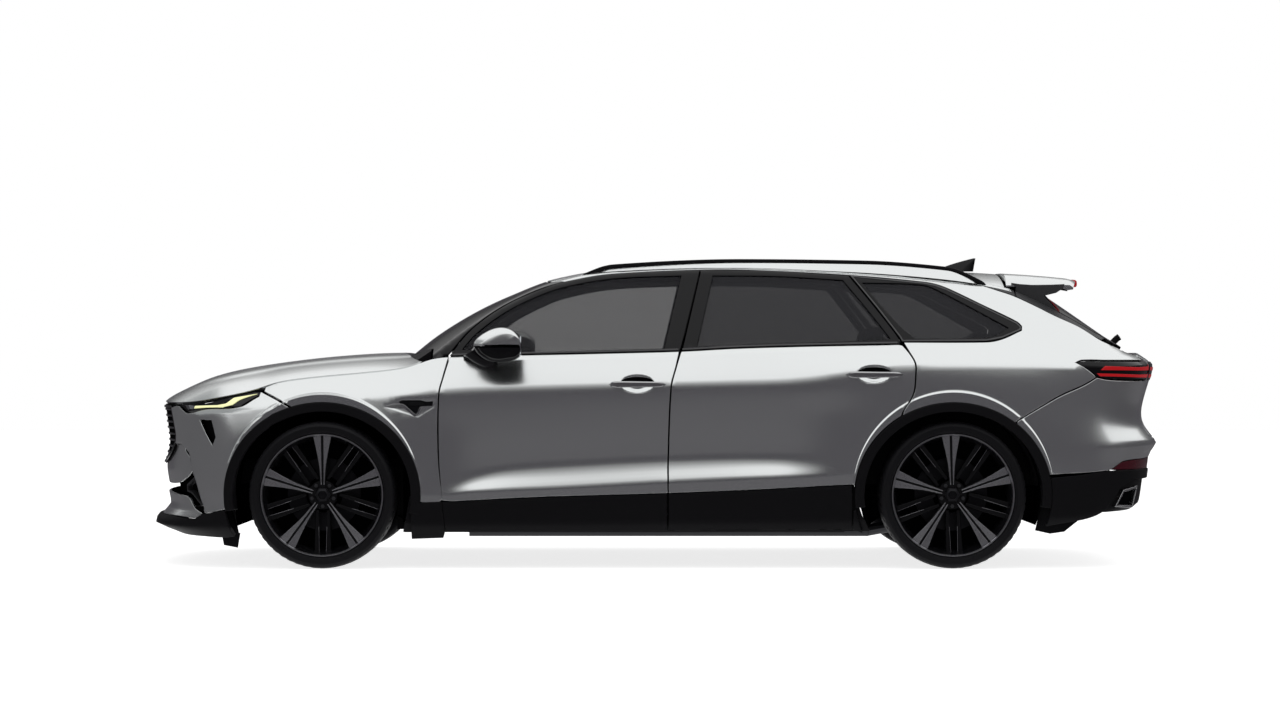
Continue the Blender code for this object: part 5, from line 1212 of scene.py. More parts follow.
def closed_grid(name, rings, finish, smooth=True, caps=True):
    """A skin over rings of points: each ring is closed, the first and last ones are capped or joined."""
    rings = np.asarray(rings, float)
    count, size = rings.shape[:2]
    around = [(k, (k + 1) % size) for k in range(size)]
    joins = [(i, i + 1) for i in range(count - 1)] + ([] if caps else [(count - 1, 0)])
    faces = [(i * size + k, i * size + n, j * size + n, j * size + k) for i, j in joins for k, n in around]
    positions = rings.reshape(-1, 3)
    if caps:
        positions = np.concatenate([positions, rings[[0, -1]].mean(axis=1)])
        first, last = count * size, (count - 1) * size
        for k, n in around:
            faces += [(first, n, k), (first + 1, last + k, last + n)]
    bm = bmesh.new()
    verts = [bm.verts.new(p) for p in positions]
    for face in faces:
        bm.faces.new([verts[i] for i in face])
    bmesh.ops.recalc_face_normals(bm, faces=bm.faces)
    return from_bmesh(name, bm, finish, 32 if smooth else None)


def turned(at, side, r, t, a):
    """The point at a radius, a place outwards and an angle about a cross axis."""
    return at[0] + r * math.cos(a), at[1] + side * t, at[2] + r * math.sin(a)


def lathe(name, profile, at, side, finish, steps=120, notch=lambda k, r, t: 0.0):
    """A turned ring about the car's cross axis: closed profile of radius and place outwards."""
    rings = [[turned(at, side, r + notch(k, r, t), t, 2 * math.pi * k / steps) for r, t in profile]
             for k in range(steps)]
    return closed_grid(name, rings, finish, caps=False)


def disc(name, radius, low, high, at, side, finish, steps=48, edge=0.002):
    """A turned round pin with a softened outer edge."""
    profile = ((radius, low), (radius, high - edge), (radius - edge * 0.3, high - edge * 0.3), (radius - edge, high))
    rings = [[turned(at, side, r, t, 2 * math.pi * k / steps) for k in range(steps)] for r, t in profile]
    return closed_grid(name, rings, finish)


def sweep(name, path, section, finish, scale=None, smooth=True):
    """A closed section of across and up places, carried along a path."""
    path = np.asarray(path, float)
    ahead = np.gradient(path, axis=0)
    ahead /= np.linalg.norm(ahead, axis=1, keepdims=True)
    across = np.cross(ahead, (0.0, 0.0, 1.0))
    across /= np.linalg.norm(across, axis=1, keepdims=True)
    rise = np.cross(across, ahead)
    scale = np.ones((len(path), 2)) if scale is None else scale
    rings = [[path[i] + across[i] * a * scale[i, 0] + rise[i] * b * scale[i, 1] for a, b in section]
             for i in range(len(path))]
    return closed_grid(name, rings, finish, smooth=smooth)


def round_section(width, height, corner=4.0, steps=24):
    """Points of a rounded oblong, as a superellipse."""
    power = lambda v: math.copysign(abs(v) ** (2 / corner), v)
    return [(power(math.cos(a)) * width / 2, power(math.sin(a)) * height / 2)
            for a in (2 * math.pi * k / steps for k in range(steps))]


def flat_map(origin, along, up):
    """A map from two places to a plane."""
    origin, along, up = (np.asarray(v, float) for v in (origin, along, up))
    return lambda points: origin + points[:, :1] * along + points[:, 1:2] * up


def upright(y):
    """A map from (x, z) to the upright plane along the car at y."""
    return flat_map((0, y, 0), (1, 0, 0), (0, 0, 1))


def soft_box(name, low, high, finish, edge):
    """A block with rounded edges."""
    bm = bmesh.new()
    bmesh.ops.create_cube(bm, size=1.0)
    for vert in bm.verts:
        vert.co = Vector(low[i] + (vert.co[i] + 0.5) * (high[i] - low[i]) for i in range(3))
    bmesh.ops.bevel(bm, geom=bm.edges[:], offset=edge, segments=3, affect="EDGES", profile=0.5)
    return from_bmesh(name, bm, finish, 40)


# ---------------------------------------------------------------- wheels
TYRE_PROFILE = [(0.299, -0.112), (0.303, -0.124), (0.318, -0.1325), (0.336, -0.1320), (0.349, -0.122),
                (0.3545, -0.110), (0.3560, -0.100), (0.3566, -0.088), (0.3500, -0.086), (0.3500, -0.077),
                (0.3572, -0.075), (0.3580, -0.036), (0.3505, -0.034), (0.3505, -0.025), (0.3580, -0.023),
                (0.3580, 0.023), (0.3505, 0.025), (0.3505, 0.034), (0.3580, 0.036), (0.3572, 0.075),
                (0.3500, 0.077), (0.3500, 0.086), (0.3566, 0.088), (0.3560, 0.100), (0.3545, 0.110),
                (0.349, 0.122), (0.343, 0.1285), (0.336, 0.1316), (0.3345, 0.1330), (0.3325, 0.1330),
                (0.331, 0.1322), (0.318, 0.1325), (0.3120, 0.1300), (0.3105, 0.1312), (0.3088, 0.1312),
                (0.3075, 0.1290), (0.303, 0.124), (0.299, 0.112), (0.297, 0.100), (0.296, 0.0), (0.297, -0.100)]


def tread_notch(k, r, t):
    """Cross cuts of the tread, in the shoulders and, half a step on, in the middle ribs."""
    if r < 0.353:
        return 0.0
    if abs(t) > 0.080:
        return -0.004 if k % 4 == 0 else 0.0
    return -0.003 if (k % 4 == 2 and abs(t) > 0.040) else 0.0


def wheel_map(at, side, angle, rise=0.0):
    """Places along and across a spoke, laid on the wheel's dished face."""
    c, s = math.cos(angle), math.sin(angle)

    def place(points):
        r, q = points[:, 0], points[:, 1]
        t = 0.074 + 0.030 * (r / 0.29) ** 1.6 + rise - 0.10 * np.abs(q)
        return np.stack([at[0] + r * c - q * s, at[1] + side * t, at[2] + r * s + q * c], axis=1)
    return place


SPOKES = 5


def build_wheel(end, side_name):
    """A tyre, a rim with five split spokes, its hub and nuts, and the brake disc behind it."""
    side = SIDES[side_name]
    at = (AXLES[end], side * TRACK / 2, AXLE_Z)
    body, tag = f"wheel_{end}_{side_name}", f"{end}_{side_name}"

    def put(thing, stands_for=None):
        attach(thing, body)
        if stands_for:
            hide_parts(stands_for)

    def plate(name, angle, rise, outline, finish, **more):
        lay(name, wheel_map(at, side, angle, rise), outline, finish, body, outward=(0, side, 0), **more)

    put(lathe(f"tyre_{tag}", TYRE_PROFILE, at, side, RUBBER, 216, tread_notch), f"{end}_tyre_{side_name}")
    barrel = [(0.2955, 0.112), (0.2955, -0.108), (0.300, -0.116), (0.296, -0.122), (0.286, -0.116), (0.280, -0.100),
              (0.262, -0.060), (0.262, 0.020), (0.276, 0.070), (0.284, 0.092), (0.288, 0.104)]
    put(lathe(f"rim_barrel_{tag}", barrel, at, side, ALLOY_DARK), f"{end}_rim_{side_name}")
    lip = [(0.2888, 0.104), (0.2888, 0.112), (0.2925, 0.1195), (0.2972, 0.1205), (0.2985, 0.117), (0.2962, 0.1125),
           (0.2962, 0.104)]
    put(lathe(f"rim_lip_{tag}", lip, at, side, ALLOY_FACE, 144))
    for k in range(SPOKES):
        angle = math.radians(90 + 360 / SPOKES * k) + (0.0 if end == "front" else math.radians(2))
        half = [(0.030, -0.012), (0.120, -0.019), (0.200, -0.028), (0.2885, -0.0475)]
        spoke = half + [(0.2925, 0.0)] + [(r, -q) for r, q in reversed(half)]
        plate(f"spoke_{tag}_{k}", angle, -0.003, spoke, ALLOY_DARK, thick=0.034, edge=0.003, pitch=0.02,
              fill=[(r, 0.0) for r in np.linspace(0.05, 0.28, 12)])
        for hand in (-1, 1):
            name = f"{tag}_{k}_{hand + 1}"
            face = [(0.050, 0.0050), (0.050, 0.0085), (0.140, 0.0155), (0.200, 0.0255), (0.2890, 0.0440),
                    (0.2908, 0.0060), (0.215, 0.0060), (0.120, 0.0052)]
            plate(f"spoke_face_{name}", angle, 0.0, [(r, hand * q) for r, q in face][::hand], ALLOY_FACE, thick=0.006,
                  edge=0.0012, pitch=0.016, start=-0.0012)
            inner, outer = (r * np.array([math.cos(math.radians(a)), hand * math.sin(math.radians(a))])
                            for r, a in ((0.080, 16.5), (0.289, 30.5)))
            along = (outer - inner) / np.linalg.norm(outer - inner)
            cross = np.array([-along[1], along[0]])
            bar = [inner - cross * 0.008, outer - cross * 0.013, outer + cross * 0.013, inner + cross * 0.008]
            plate(f"spoke_dark_{name}", angle, -0.014, bar, ALLOY_DARK, thick=0.024, edge=0.003, pitch=0.02,
                  smooth=False)
            line = [inner + cross * 0.0085 * hand + along * 0.08, outer + cross * 0.0125 * hand,
                    outer + cross * 0.0105 * hand, inner + cross * 0.0065 * hand + along * 0.08]
            plate(f"spoke_line_{name}", angle, -0.0125, line, ALLOY_FACE, thick=0.003, edge=0.0004, pitch=0.03,
                  smooth=False)
    # a near-black disc across the whole barrel behind the brake: partly a dust shield, partly painted shade that closes
    # the wheel's inside
    put(disc(f"wheel_shade_{tag}", 0.2655, -0.058, -0.052, at, side, DARK, 64))
    put(disc(f"hub_{tag}", 0.070, 0.020, 0.064, at, side, ALLOY_DARK))
    ring = [(0.0225, 0.060), (0.0225, 0.084), (0.0245, 0.087), (0.033, 0.084), (0.038, 0.078), (0.038, 0.060)]
    put(lathe(f"hub_ring_{tag}", ring, at, side, ALLOY_GREY, 6))
    put(disc(f"hub_cap_{tag}", 0.0218, 0.060, 0.086, at, side, BLACK_GLOSS, 40, 0.004))
    for k in range(SPOKES):
        spot = turned(at, side, 0.055, 0.0, math.radians(54 + 360 / SPOKES * k))
        put(disc(f"wheel_nut_{tag}_{k}", 0.0095, 0.055, 0.074, spot, side, STEEL, 6, 0.001))
    put(lathe(f"brake_disc_{tag}", [(0.090, -0.030), (0.178, -0.030), (0.178, -0.008), (0.090, -0.008)], at, side,
              STEEL_BRIGHT, 96))


# ---------------------------------------------------------------- trim
CAP = [(-0.880, 1.083), (-0.876, 1.100), (-0.858, 1.122), (-0.828, 1.144), (-0.790, 1.163), (-0.752, 1.172),
       (-0.712, 1.169), (-0.678, 1.153), (-0.656, 1.128), (-0.648, 1.098), (-0.648, 1.083), (-0.700, 1.086),
       (-0.755, 1.087), (-0.820, 1.083), (-0.868, 1.078)]
SHELL = [(-0.878, 1.073), (-0.820, 1.078), (-0.755, 1.082), (-0.700, 1.081), (-0.649, 1.078), (-0.648, 1.060),
         (-0.653, 1.030), (-0.674, 1.017), (-0.720, 1.009), (-0.770, 1.004), (-0.812, 1.014), (-0.852, 1.040)]
# half widths of the mirror's rings, and the size of its outline at each
MIRROR_SHARES = ((0.952, 0.62), (0.958, 0.76), (0.968, 0.875), (0.982, 0.95), (1.000, 0.985), (1.030, 1.0),
                 (1.060, 0.985), (1.082, 0.94), (1.098, 0.865), (1.108, 0.76), (1.113, 0.62))


def shrunk_rings(outline, side, centre, shares, pitch):
    """Rings across the car: the outline about a centre, at each half width with its share and lift."""
    return [[(centre[0] + (x - centre[0]) * share, side * w, centre[1] + (z - centre[1]) * share + lift)
             for x, z in resampled(outline, pitch, 40)] for w, share, lift in shares]


def mirror_rings(outline, side, scale=1.0):
    """A form swelling out from the door: the outline shrinks towards both ends."""
    shares = [(w, 1 - (1 - share) * scale, 0.0) for w, share in MIRROR_SHARES]
    return shrunk_rings(outline, side, (-0.650, 1.082), shares, 0.010)


HANDLE_HALF, RAIL_Y = 0.131, 0.628      # half length of a handle, and the roof rail's place across


def build_trim(side_name):
    """One side's mirror, handles, vent, roof rail, pillar trims and belt strips."""
    side = SIDES[side_name]
    place, shell = on_side(side), on_shell(side)
    door, rear_door = f"front_door_{side_name}", f"rear_door_{side_name}"

    def plate(name, outline, finish, body="body_shell", mapping=place, out=(0, side, 0), **more):
        lay(f"{name}_{side_name}", mapping, outline, finish, body, outward=out, **more)

    def form(name, rings, finish):
        thing = closed_grid(f"{name}_{side_name}", rings, finish)
        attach(thing, door)
        return thing

    # mirror
    cap = form("mirror_cap", mirror_rings(CAP, side), PAINT)
    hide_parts(f"mirror_{side_name}")
    form("mirror_shell", mirror_rings(SHELL, side), BLACK_GLOSS)
    seam = [(-0.872, 1.070), (-0.872, 1.090), (-0.760, 1.094), (-0.656, 1.092), (-0.656, 1.070), (-0.760, 1.072)]
    form("mirror_seam", mirror_rings(seam, side, 0.9), DARK)
    pane = [(0.975, 1.050), (0.982, 1.110), (1.010, 1.130), (1.055, 1.130), (1.082, 1.105), (1.084, 1.060),
            (1.062, 1.040), (0.995, 1.036)]
    plate("mirror_pane", pane, MIRROR_PANE, door, flat_map((-0.6465, 0, 0), (0, side, 0), (0, 0, 1)), (1, 0, 0),
          thick=0.004, edge=0.001)
    foot = [(-0.935, 1.036), (-0.905, 1.016), (-0.862, 0.990), (-0.822, 0.976), (-0.780, 0.990), (-0.768, 1.010),
            (-0.800, 1.030), (-0.850, 1.046), (-0.900, 1.052)]
    shares = ((0.872, 1.0, 0.0), (0.900, 1.0, 0.0), (0.935, 0.92, 0.004), (0.965, 0.80, 0.012), (0.990, 0.66, 0.026))
    form("mirror_foot", shrunk_rings(foot, side, (-0.810, 1.014), shares, 0.012), BLACK_GLOSS)

    # handles
    for body, x, z in ((door, -0.085, 0.897), (rear_door, 1.064, 0.944)):
        xs = np.concatenate([[-HANDLE_HALF, -0.128, -0.122], np.linspace(-0.11, 0.11, 21),
                             [0.122, 0.128, HANDLE_HALF]])
        skin = place(np.stack([x + xs, np.full(len(xs), z)], axis=1))
        wide = np.abs(skin[:, 1])
        reach = 0.010 + 0.030 * np.clip(1 - (np.abs(xs) / HANDLE_HALF) ** 3, 0, 1) ** 0.6
        straight = np.linspace(wide[0], wide[-1], len(xs))
        path = np.stack([x + xs, side * (np.maximum(straight, wide) + reach - 0.008), np.full(len(xs), z)], axis=1)
        share = np.clip(1 - (np.abs(xs) / 0.1315) ** 12, 0.02, 1) ** 0.5
        scale = np.stack([share, share * (1.0 - 0.12 * xs / HANDLE_HALF)], axis=1)
        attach(sweep(f"{body}_handle", path, round_section(0.016, 0.029, 3.0, 20), CHROME, scale), body)
        # the shade plate is painted shade: a near-black half oval over the upper half of the cup, under the handle
        bowl = [(x + 0.082 * math.cos(a), z + 0.010 + 0.026 * math.sin(a)) for a in np.linspace(0, math.pi, 21)]
        rim = [(x + 0.137 * math.cos(a), z + 0.0155 * math.sin(a)) for a in np.linspace(0, 2 * math.pi, 41)[:-1]]
        for name, loop, finish, start, thick in (("shade", bowl, DARK, -0.0008, 0.005),
                                                 ("seat", rim, BLACK_GLOSS, -0.0012, 0.006)):
            lay(f"{body}_handle_{name}", place, loop, finish, body, outward=(0, side, 0), start=start, thick=thick,
                edge=0.001, pitch=0.01)

    # wing vent
    vent = [(-1.245, 0.812), (-1.229, 0.8195), (-1.141, 0.8195), (-1.110, 0.812), (-1.078, 0.814), (-1.081, 0.792),
            (-1.130, 0.7905), (-1.141, 0.787), (-1.158, 0.754), (-1.170, 0.7525), (-1.214, 0.790), (-1.232, 0.798)]
    bright = [(-1.313, 0.7905), (-1.271, 0.801), (-1.229, 0.802), (-1.213, 0.7955), (-1.168, 0.754), (-1.157, 0.752),
              (-1.143, 0.784), (-1.134, 0.786), (-1.151, 0.747), (-1.166, 0.740), (-1.217, 0.7785), (-1.305, 0.787)]
    ledge = [(-1.190, 0.810), (-1.130, 0.809), (-1.118, 0.800), (-1.140, 0.796), (-1.195, 0.796)]
    plate("vent_black", vent, BLACK_GLOSS, start=-0.0010, thick=0.010, edge=0.0008, smooth=False)
    plate("vent_bright", bright, CHROME, start=-0.0035, thick=0.012, edge=0.0012, smooth=False)
    plate("vent_ledge", ledge, PLASTIC, start=-0.0030, thick=0.006, edge=0.0008, smooth=False)

    # roof rail
    xs = np.concatenate([np.linspace(-0.366, -0.25, 14), np.linspace(-0.22, 1.40, 44), np.linspace(1.43, 1.640, 18)])
    top = np.minimum(sampled(ROOF_RAIL, 1, xs), 1.6)
    foot = cabin_height(xs, np.full(len(xs), RAIL_Y)) - 0.003
    ends = np.clip(np.minimum((xs + 0.375) / 0.16, (1.645 - xs) / 0.20), 0.02, 1)
    top = foot + (top - foot) * (ends * (2 - ends)) ** 0.8
    tall = np.clip(top - foot, 0.006, 0.021)
    path = np.stack([xs, np.full(len(xs), side * RAIL_Y), top - tall / 2], axis=1)
    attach(sweep(f"roof_rail_{side_name}", path, round_section(0.026, 1.0, 4.0, 20), PLASTIC,
                  np.stack([np.clip(tall / 0.02, 0.3, 1.0), tall], axis=1)), "body_shell")
    rise = np.maximum(top - tall + 0.001 - foot, 0.004)
    path = np.stack([xs, np.full(len(xs), side * RAIL_Y), foot + rise / 2], axis=1)
    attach(sweep(f"roof_rail_foot_{side_name}", path, [(-0.034, -0.5), (0.034, -0.5), (0.012, 0.5), (-0.012, 0.5)],
                  PAINT, np.stack([0.3 + 0.7 * ends, rise], axis=1), smooth=False), "body_shell")

    # trim between the quarter window and the tailgate
    wedge = [(1.600, 1.3885), (1.680, 1.3655), (1.780, 1.331), (1.780, ("w", 0.612)), (1.700, ("w", 0.624)),
             (1.640, ("w", 0.640))]
    plate("pillar_tip", shell_outline(wedge), TRIM_GREY, mapping=shell, thick=0.010, start=0.001, smooth=False,
          fill=even_points((1.55, 0.2), (1.82, 0.5), 0.02))
    cheek = [(1.787, 1.330), (1.869, 1.288), (1.960, 1.242), (2.051, 1.193), (2.134, 1.150), (2.205, 1.116),
             (2.230, ("w", 0.609)), (2.100, ("w", 0.609)), (1.950, ("w", 0.609)), (1.789, ("w", 0.609))]
    plate("pillar_cheek", shell_outline(cheek), TRIM_GREY, mapping=shell, thick=0.010, start=0.001, smooth=False,
          fill=even_points((1.77, 0.0), (2.25, 0.5), 0.02))
    sail = [(1.792, 1.330), (1.791, 1.376), (1.770, 1.398), (1.810, 1.392), (1.90, 1.386), (2.034, 1.392),
            (2.026, 1.370), (1.992, 1.348), (1.930, 1.333), (1.960, 1.302), (1.996, 1.262), (2.020, 1.226),
            (1.940, 1.262), (1.869, 1.296)]
    plate("spoiler_cheek", sail, TRIM_GREY, "tailgate", upright(side * 0.600), thick=0.022, edge=0.003, smooth=False)

    # grey line under the windows
    for name, body, first, last in (("front", door, -0.990, 0.114), ("rear", rear_door, 0.134, 1.184)):
        line = belt_line(first, last, -0.004) + belt_line(first, last, -0.012)[::-1]
        plate(f"{name}_belt_strip", line, BELT_GREY, body, start=-0.003, thick=0.008, edge=0.001, smooth=False)


def build_linings(side_name):
    """The doors' inner trims and armrests, the boot's trim, the wells' linings and the plates that close them."""
    side = SIDES[side_name]
    place = on_side(side)
    plain = {"outward": (0, side, 0), "smooth": False}
    for body, trim, rest in ((f"front_door_{side_name}",
                              [(-0.990, 0.445), (-1.000, 0.560), (-0.995, 0.850), (-0.965, 0.985), (0.040, 1.015),
                               (0.030, 0.880), (0.012, 0.500), (0.012, 0.445)],
                              [(-0.760, 0.600), (-0.240, 0.640), (-0.170, 0.690), (-0.240, 0.700), (-0.720, 0.670)]),
                             (f"rear_door_{side_name}",
                              [(0.116, 0.450), (0.116, 0.500), (0.135, 0.880), (0.155, 1.030), (1.120, 1.045),
                               (1.195, 0.950), (1.175, 0.850), (1.085, 0.750), (1.005, 0.665), (0.935, 0.535),
                               (0.905, 0.450)],
                              [(0.300, 0.660), (0.760, 0.690), (0.830, 0.740), (0.760, 0.750), (0.340, 0.725)])):
        for name, loop, start, thick in (("trim", trim, 0.050, 0.012), ("armrest", rest, 0.062, 0.030)):
            lay(f"{body}_{name}", place, loop, TRIM_INNER, body, fill=even_points, outward=(0, side, 0), start=start,
                thick=thick, edge=0.004)
    boot = [(1.185, 0.435), (2.250, 0.435), (2.270, 0.900), (2.180, 1.000), (1.230, 1.040)]
    lay(f"boot_trim_{side_name}", upright(side * 0.632), boot, TRIM_INNER, thick=0.010, edge=0.003, **plain)
    for end, outline in (("front", [(-2.180, 0.185), (-2.080, 0.166), (-2.032, 0.164), (-2.048, 0.240), (-2.058, 0.420),
                                    (-2.120, 0.420)]),
                         ("rear", [(1.858, 0.182), (1.930, 0.166), (2.000, 0.176), (2.080, 0.240), (2.040, 0.440),
                                   (1.890, 0.440), (1.884, 0.300)])):
        lay(f"{end}_filler_{side_name}", upright(side * 0.850), outline, PLASTIC, thick=0.012, edge=0.002, **plain)
    for end, radius, inner in (("front", 0.4510, 0.405), ("rear", 0.4300, 0.634)):
        section = [(radius, 0.880), (radius + 0.004, 0.880), (radius + 0.004, inner), (0.300, inner),
                   (0.300, inner + 0.003), (radius, inner + 0.003)]
        rings = [[turned((AXLES[end], 0.0, AXLE_Z), side, r, w, a) for r, w in section]
                 for a in np.radians(np.linspace(-20, 200, 93))]
        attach(closed_grid(f"{end}_liner_{side_name}", rings, DARK), "body_shell")


SPOILER_HALF = 0.596


def build_roof_parts():
    """The fin on the roof, the spoiler over the rear window with its brake light, and the wiper's peg."""
    rings = []
    for lift in np.linspace(0, 1, 13):
        rear, front = 1.652 - 0.012 * (1 - lift), 1.452 + 0.188 * lift ** 1.5
        half = 0.024 * (1 - lift) ** 0.8 + 0.004
        ring = []
        for a in 2 * math.pi * np.arange(24) / 24:
            along = (rear + front) / 2 + (rear - front) / 2 * math.copysign(abs(math.cos(a)) ** 0.8, math.cos(a))
            wide = 0.6 + 0.4 * (along - front) / max(rear - front, 1e-6)
            ring.append((along, half * math.sin(a) * wide, 1.470 + 0.068 * lift))
        rings.append(ring)
    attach(closed_grid("roof_fin", rings, BLACK_GLOSS), "body_shell")

    rows, under = [], []
    for y in SPOILER_HALF * np.sin(np.linspace(-math.pi / 2, math.pi / 2, 49)):
        s = abs(y) / SPOILER_HALF
        rim = 0.026 * s ** 14
        low, drop, tail = 0.012 * s ** 2 + 0.006, 0.012 * s ** 2 + rim, 2.140 - 0.062 * s ** 2.2
        top = [(x, y, z - drop - share * rim) for x, z, share in (
            (1.7435, 1.4545, 1.2), (1.84, 1.4490, 0.9), (1.96, 1.4400, 0.5), (2.06, 1.4300, 0.2),
            (tail - 0.010, 1.4190, 0), (tail, 1.4120, 0), (tail - 0.002, 1.4030, 0), (tail - 0.030, 1.3990, 0))]
        bottom = [(x, y, z - low - share * rim) for x, z, share in (
            (2.00, 1.4040, 0.25), (1.93, 1.4080, 0.25), (1.82, 1.4150, 0.6), (1.7435, 1.4300, 1.35))]
        rows.append(top + bottom)
        edge = [top[7]] + bottom[:3]
        under.append([(x, y * 0.985, z - 0.0005) for x, _, z in edge]
                     + [(x, y * 0.985, z - 0.005) for x, _, z in reversed(edge)])
    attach(closed_grid("spoiler", rows, PAINT), "tailgate")
    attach(closed_grid("spoiler_under", under, PLASTIC), "tailgate")
    path = [(2.132 - 0.062 * (abs(y) / SPOILER_HALF) ** 2.2, y, 1.4085 - 0.030 * (abs(y) / SPOILER_HALF) ** 2.4)
            for y in np.linspace(-0.40, 0.40, 25)]
    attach(sweep("brake_strip", path, round_section(0.030, 0.034, 3.0, 12), LAMP_RED), "tailgate")

    # the wiper's peg through the foot of the rear window
    peg = [(2.352, 0, 1.098), (2.366, 0, 1.112), (2.380, 0, 1.126), (2.392, 0, 1.134)]
    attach(sweep("wiper_peg", peg, round_section(0.034, 0.034, 2.0, 20), PLASTIC), "tailgate")


# ---------------------------------------------------------------- seats and cabin
SEAT_PAD = [(-0.645, 0.330), (-0.170, 0.330), (-0.118, 0.450), (-0.300, 0.485), (-0.640, 0.512), (-0.682, 0.460)]
SEAT_BACK = [(-0.215, 0.350), (-0.085, 0.350), (0.010, 0.700), (0.112, 1.000), (0.040, 1.010), (-0.090, 0.780),
             (-0.185, 0.560)]
SEAT_HEAD = [(0.040, 1.015), (0.105, 1.015), (0.148, 1.190), (0.090, 1.200)]
BENCH_PAD = [(0.460, 0.370), (0.875, 0.370), (0.880, 0.485), (0.640, 0.510), (0.460, 0.540), (0.418, 0.490)]
BENCH_BACK = [(0.862, 0.480), (1.015, 0.480), (1.118, 1.020), (1.045, 1.030), (0.960, 0.820), (0.880, 0.580)]
BENCH_HEAD = [(1.048, 1.030), (1.112, 1.030), (1.150, 1.175), (1.095, 1.185)]
SEAT_Y, HEAD_HALF = 0.38, 0.115         # middle of a front seat, and half width of a head restraint
CELL, CLOTH_STEPS = 0.013, 20
CORD, CORD_INSET = 0.0065, 0.16         # thickness of the piping, and its share of the width in from each end
PADS = []


def pad(name, outline, low, high, stands_for=None, cap=0.012):
    """A cushion's cut form, made even by a remesh; the cloth swells it later."""
    line = np.array(resampled(outline, 0.03, 60))
    middle = line.mean(axis=0)
    rings = []
    for share in (0.0, 0.03, 0.09, 0.2, 0.35, 0.5, 0.65, 0.8, 0.91, 0.97, 1.0):
        s = abs(2 * share - 1)
        shrink = 0.80 + 0.16 * (1 - s ** 4) ** 0.5
        rings.append([(middle[0] + (x - middle[0]) * shrink, low + 0.012 + (high - low - 0.024) * share,
                       middle[1] + (z - middle[1]) * shrink) for x, z in line])
    thing = closed_grid(name, rings, LEATHER)
    remesh = thing.modifiers.new("remesh", "REMESH")
    remesh.mode = "VOXEL"
    remesh.voxel_size = CELL
    even = bpy.data.meshes.new_from_object(thing.evaluated_get(bpy.context.evaluated_depsgraph_get()))
    thing.modifiers.clear()
    thing.data = even
    even.shade_smooth()
    if not even.materials:
        even.materials.append(LEATHER)
    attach(thing, "body_shell")
    if stands_for:
        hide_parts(stands_for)
    PADS.append((thing, cap, outline, low, high))


def swell_pads():
    """Cloth with air in it: twenty steps, each point's way held to a cap, the result kept in the mesh."""
    scene = bpy.context.scene
    for thing, *_ in PADS:
        cloth = thing.modifiers.new("cloth", "CLOTH")
        cloth.settings.quality = 4
        cloth.settings.mass = 0.3
        cloth.settings.tension_stiffness = 12
        cloth.settings.compression_stiffness = 12
        cloth.settings.use_pressure = True
        cloth.settings.uniform_pressure_force = 4.0
        cloth.settings.effector_weights.gravity = 0.0
        cloth.point_cache.frame_start = 1
        cloth.point_cache.frame_end = CLOTH_STEPS
    for number in range(1, CLOTH_STEPS + 1):
        scene.frame_set(number)
    graph = bpy.context.evaluated_depsgraph_get()
    for thing, cap, *_ in PADS:
        size = len(thing.data.vertices) * 3
        before, after = np.empty(size), np.empty(size)
        thing.data.vertices.foreach_get("co", before)
        thing.evaluated_get(graph).data.vertices.foreach_get("co", after)
        thing.modifiers.clear()
        move = (after - before).reshape(-1, 3)
        length = np.linalg.norm(move, axis=1, keepdims=True)
        move *= np.minimum(1.0, cap / np.maximum(length, 1e-9))
        thing.data.vertices.foreach_set("co", (before.reshape(-1, 3) + move).reshape(-1))
        thing.data.update()
    scene.frame_set(1)
    for thing, _, outline, low, high in PADS:
        add_piping(thing, outline, low, high)


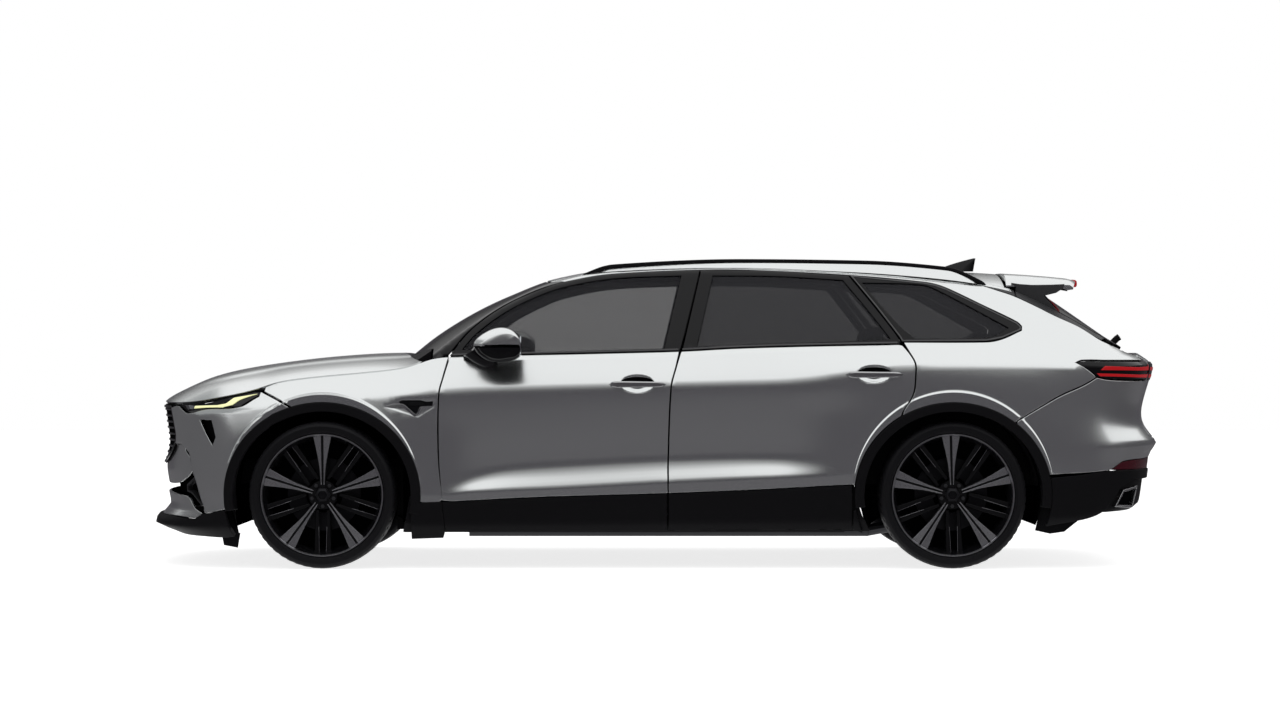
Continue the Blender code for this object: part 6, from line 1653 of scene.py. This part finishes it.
def add_piping(thing, outline, low, high):
    """A sewn cord round each end of a cushion, laid on the surface that the cloth ended with."""
    mesh = thing.data
    tree = BVHTree.FromPolygons([v.co for v in mesh.vertices], [p.vertices for p in mesh.polygons])
    line = [Vector((x, 0.0, z)) for x, z in resampled(outline, 0.012, 60)]
    middle = sum(line, Vector()) / len(line)
    for end, y in (("inner", low + CORD_INSET * (high - low)), ("outer", high - CORD_INSET * (high - low))):
        path = []
        for point in line:
            reach = (point - middle).normalized()
            spot, _, _, _ = tree.ray_cast(Vector((point.x, y, point.z)) + reach * 0.08, -reach, 0.30)
            if spot:
                path.append(tuple(spot + reach * 0.0012))
        path.append(path[0])
        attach(sweep(f"{thing.name}_piping_{end}", path, round_section(CORD, CORD, 2.0, 8), TRIM_INNER), "body_shell")


def build_cabin():
    """Two front seats and a bench in three parts, on plain frames."""
    def block(*values):
        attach(soft_box(*values), "body_shell")

    for side_name, side in SIDES.items():
        low, high = sorted((side * 0.130, side * 0.630))
        middle = side * SEAT_Y
        pad(f"seat_pad_{side_name}", SEAT_PAD, low, high, f"front_seat_{side_name}")
        pad(f"seat_back_{side_name}", SEAT_BACK, low, high)
        pad(f"seat_head_{side_name}", SEAT_HEAD, middle - HEAD_HALF, middle + HEAD_HALF, cap=0.008)
        block(f"seat_frame_{side_name}", (-0.600, low + 0.05, 0.262), (-0.220, high - 0.05, 0.345), DARK, 0.01)
        block(f"seat_stem_{side_name}", (0.062, middle - 0.07, 0.960), (0.076, middle + 0.07, 1.060), STEEL, 0.004)
    pad("bench_pad_left", BENCH_PAD, -0.605, -0.004, "rear_bench")
    pad("bench_pad_right", BENCH_PAD, 0.004, 0.605)
    for name, low, high in (("left", -0.605, -0.125), ("middle", -0.118, 0.118), ("right", 0.125, 0.605)):
        pad(f"bench_back_{name}", BENCH_BACK, low, high)
    for name, middle in (("left", -SEAT_Y), ("right", SEAT_Y)):
        pad(f"bench_head_{name}", BENCH_HEAD, middle - HEAD_HALF, middle + HEAD_HALF, cap=0.008)
        block(f"bench_stem_{name}", (1.066, middle - 0.07, 0.980), (1.080, middle + 0.07, 1.070), STEEL, 0.004)
    block("bench_frame", (0.480, -0.56, 0.262), (0.860, 0.56, 0.385), DARK, 0.01)
    swell_pads()


for side_name in SIDES:
    build_side(side_name)
build_top()
build_bonnet()
build_nose()
build_tail()
build_roof_parts()
build_cabin()
for side_name in SIDES:
    build_trim(side_name)
    build_linings(side_name)
    for end in ("front", "rear"):
        build_wheel(end, side_name)

dress_cad()
studio()
floor()
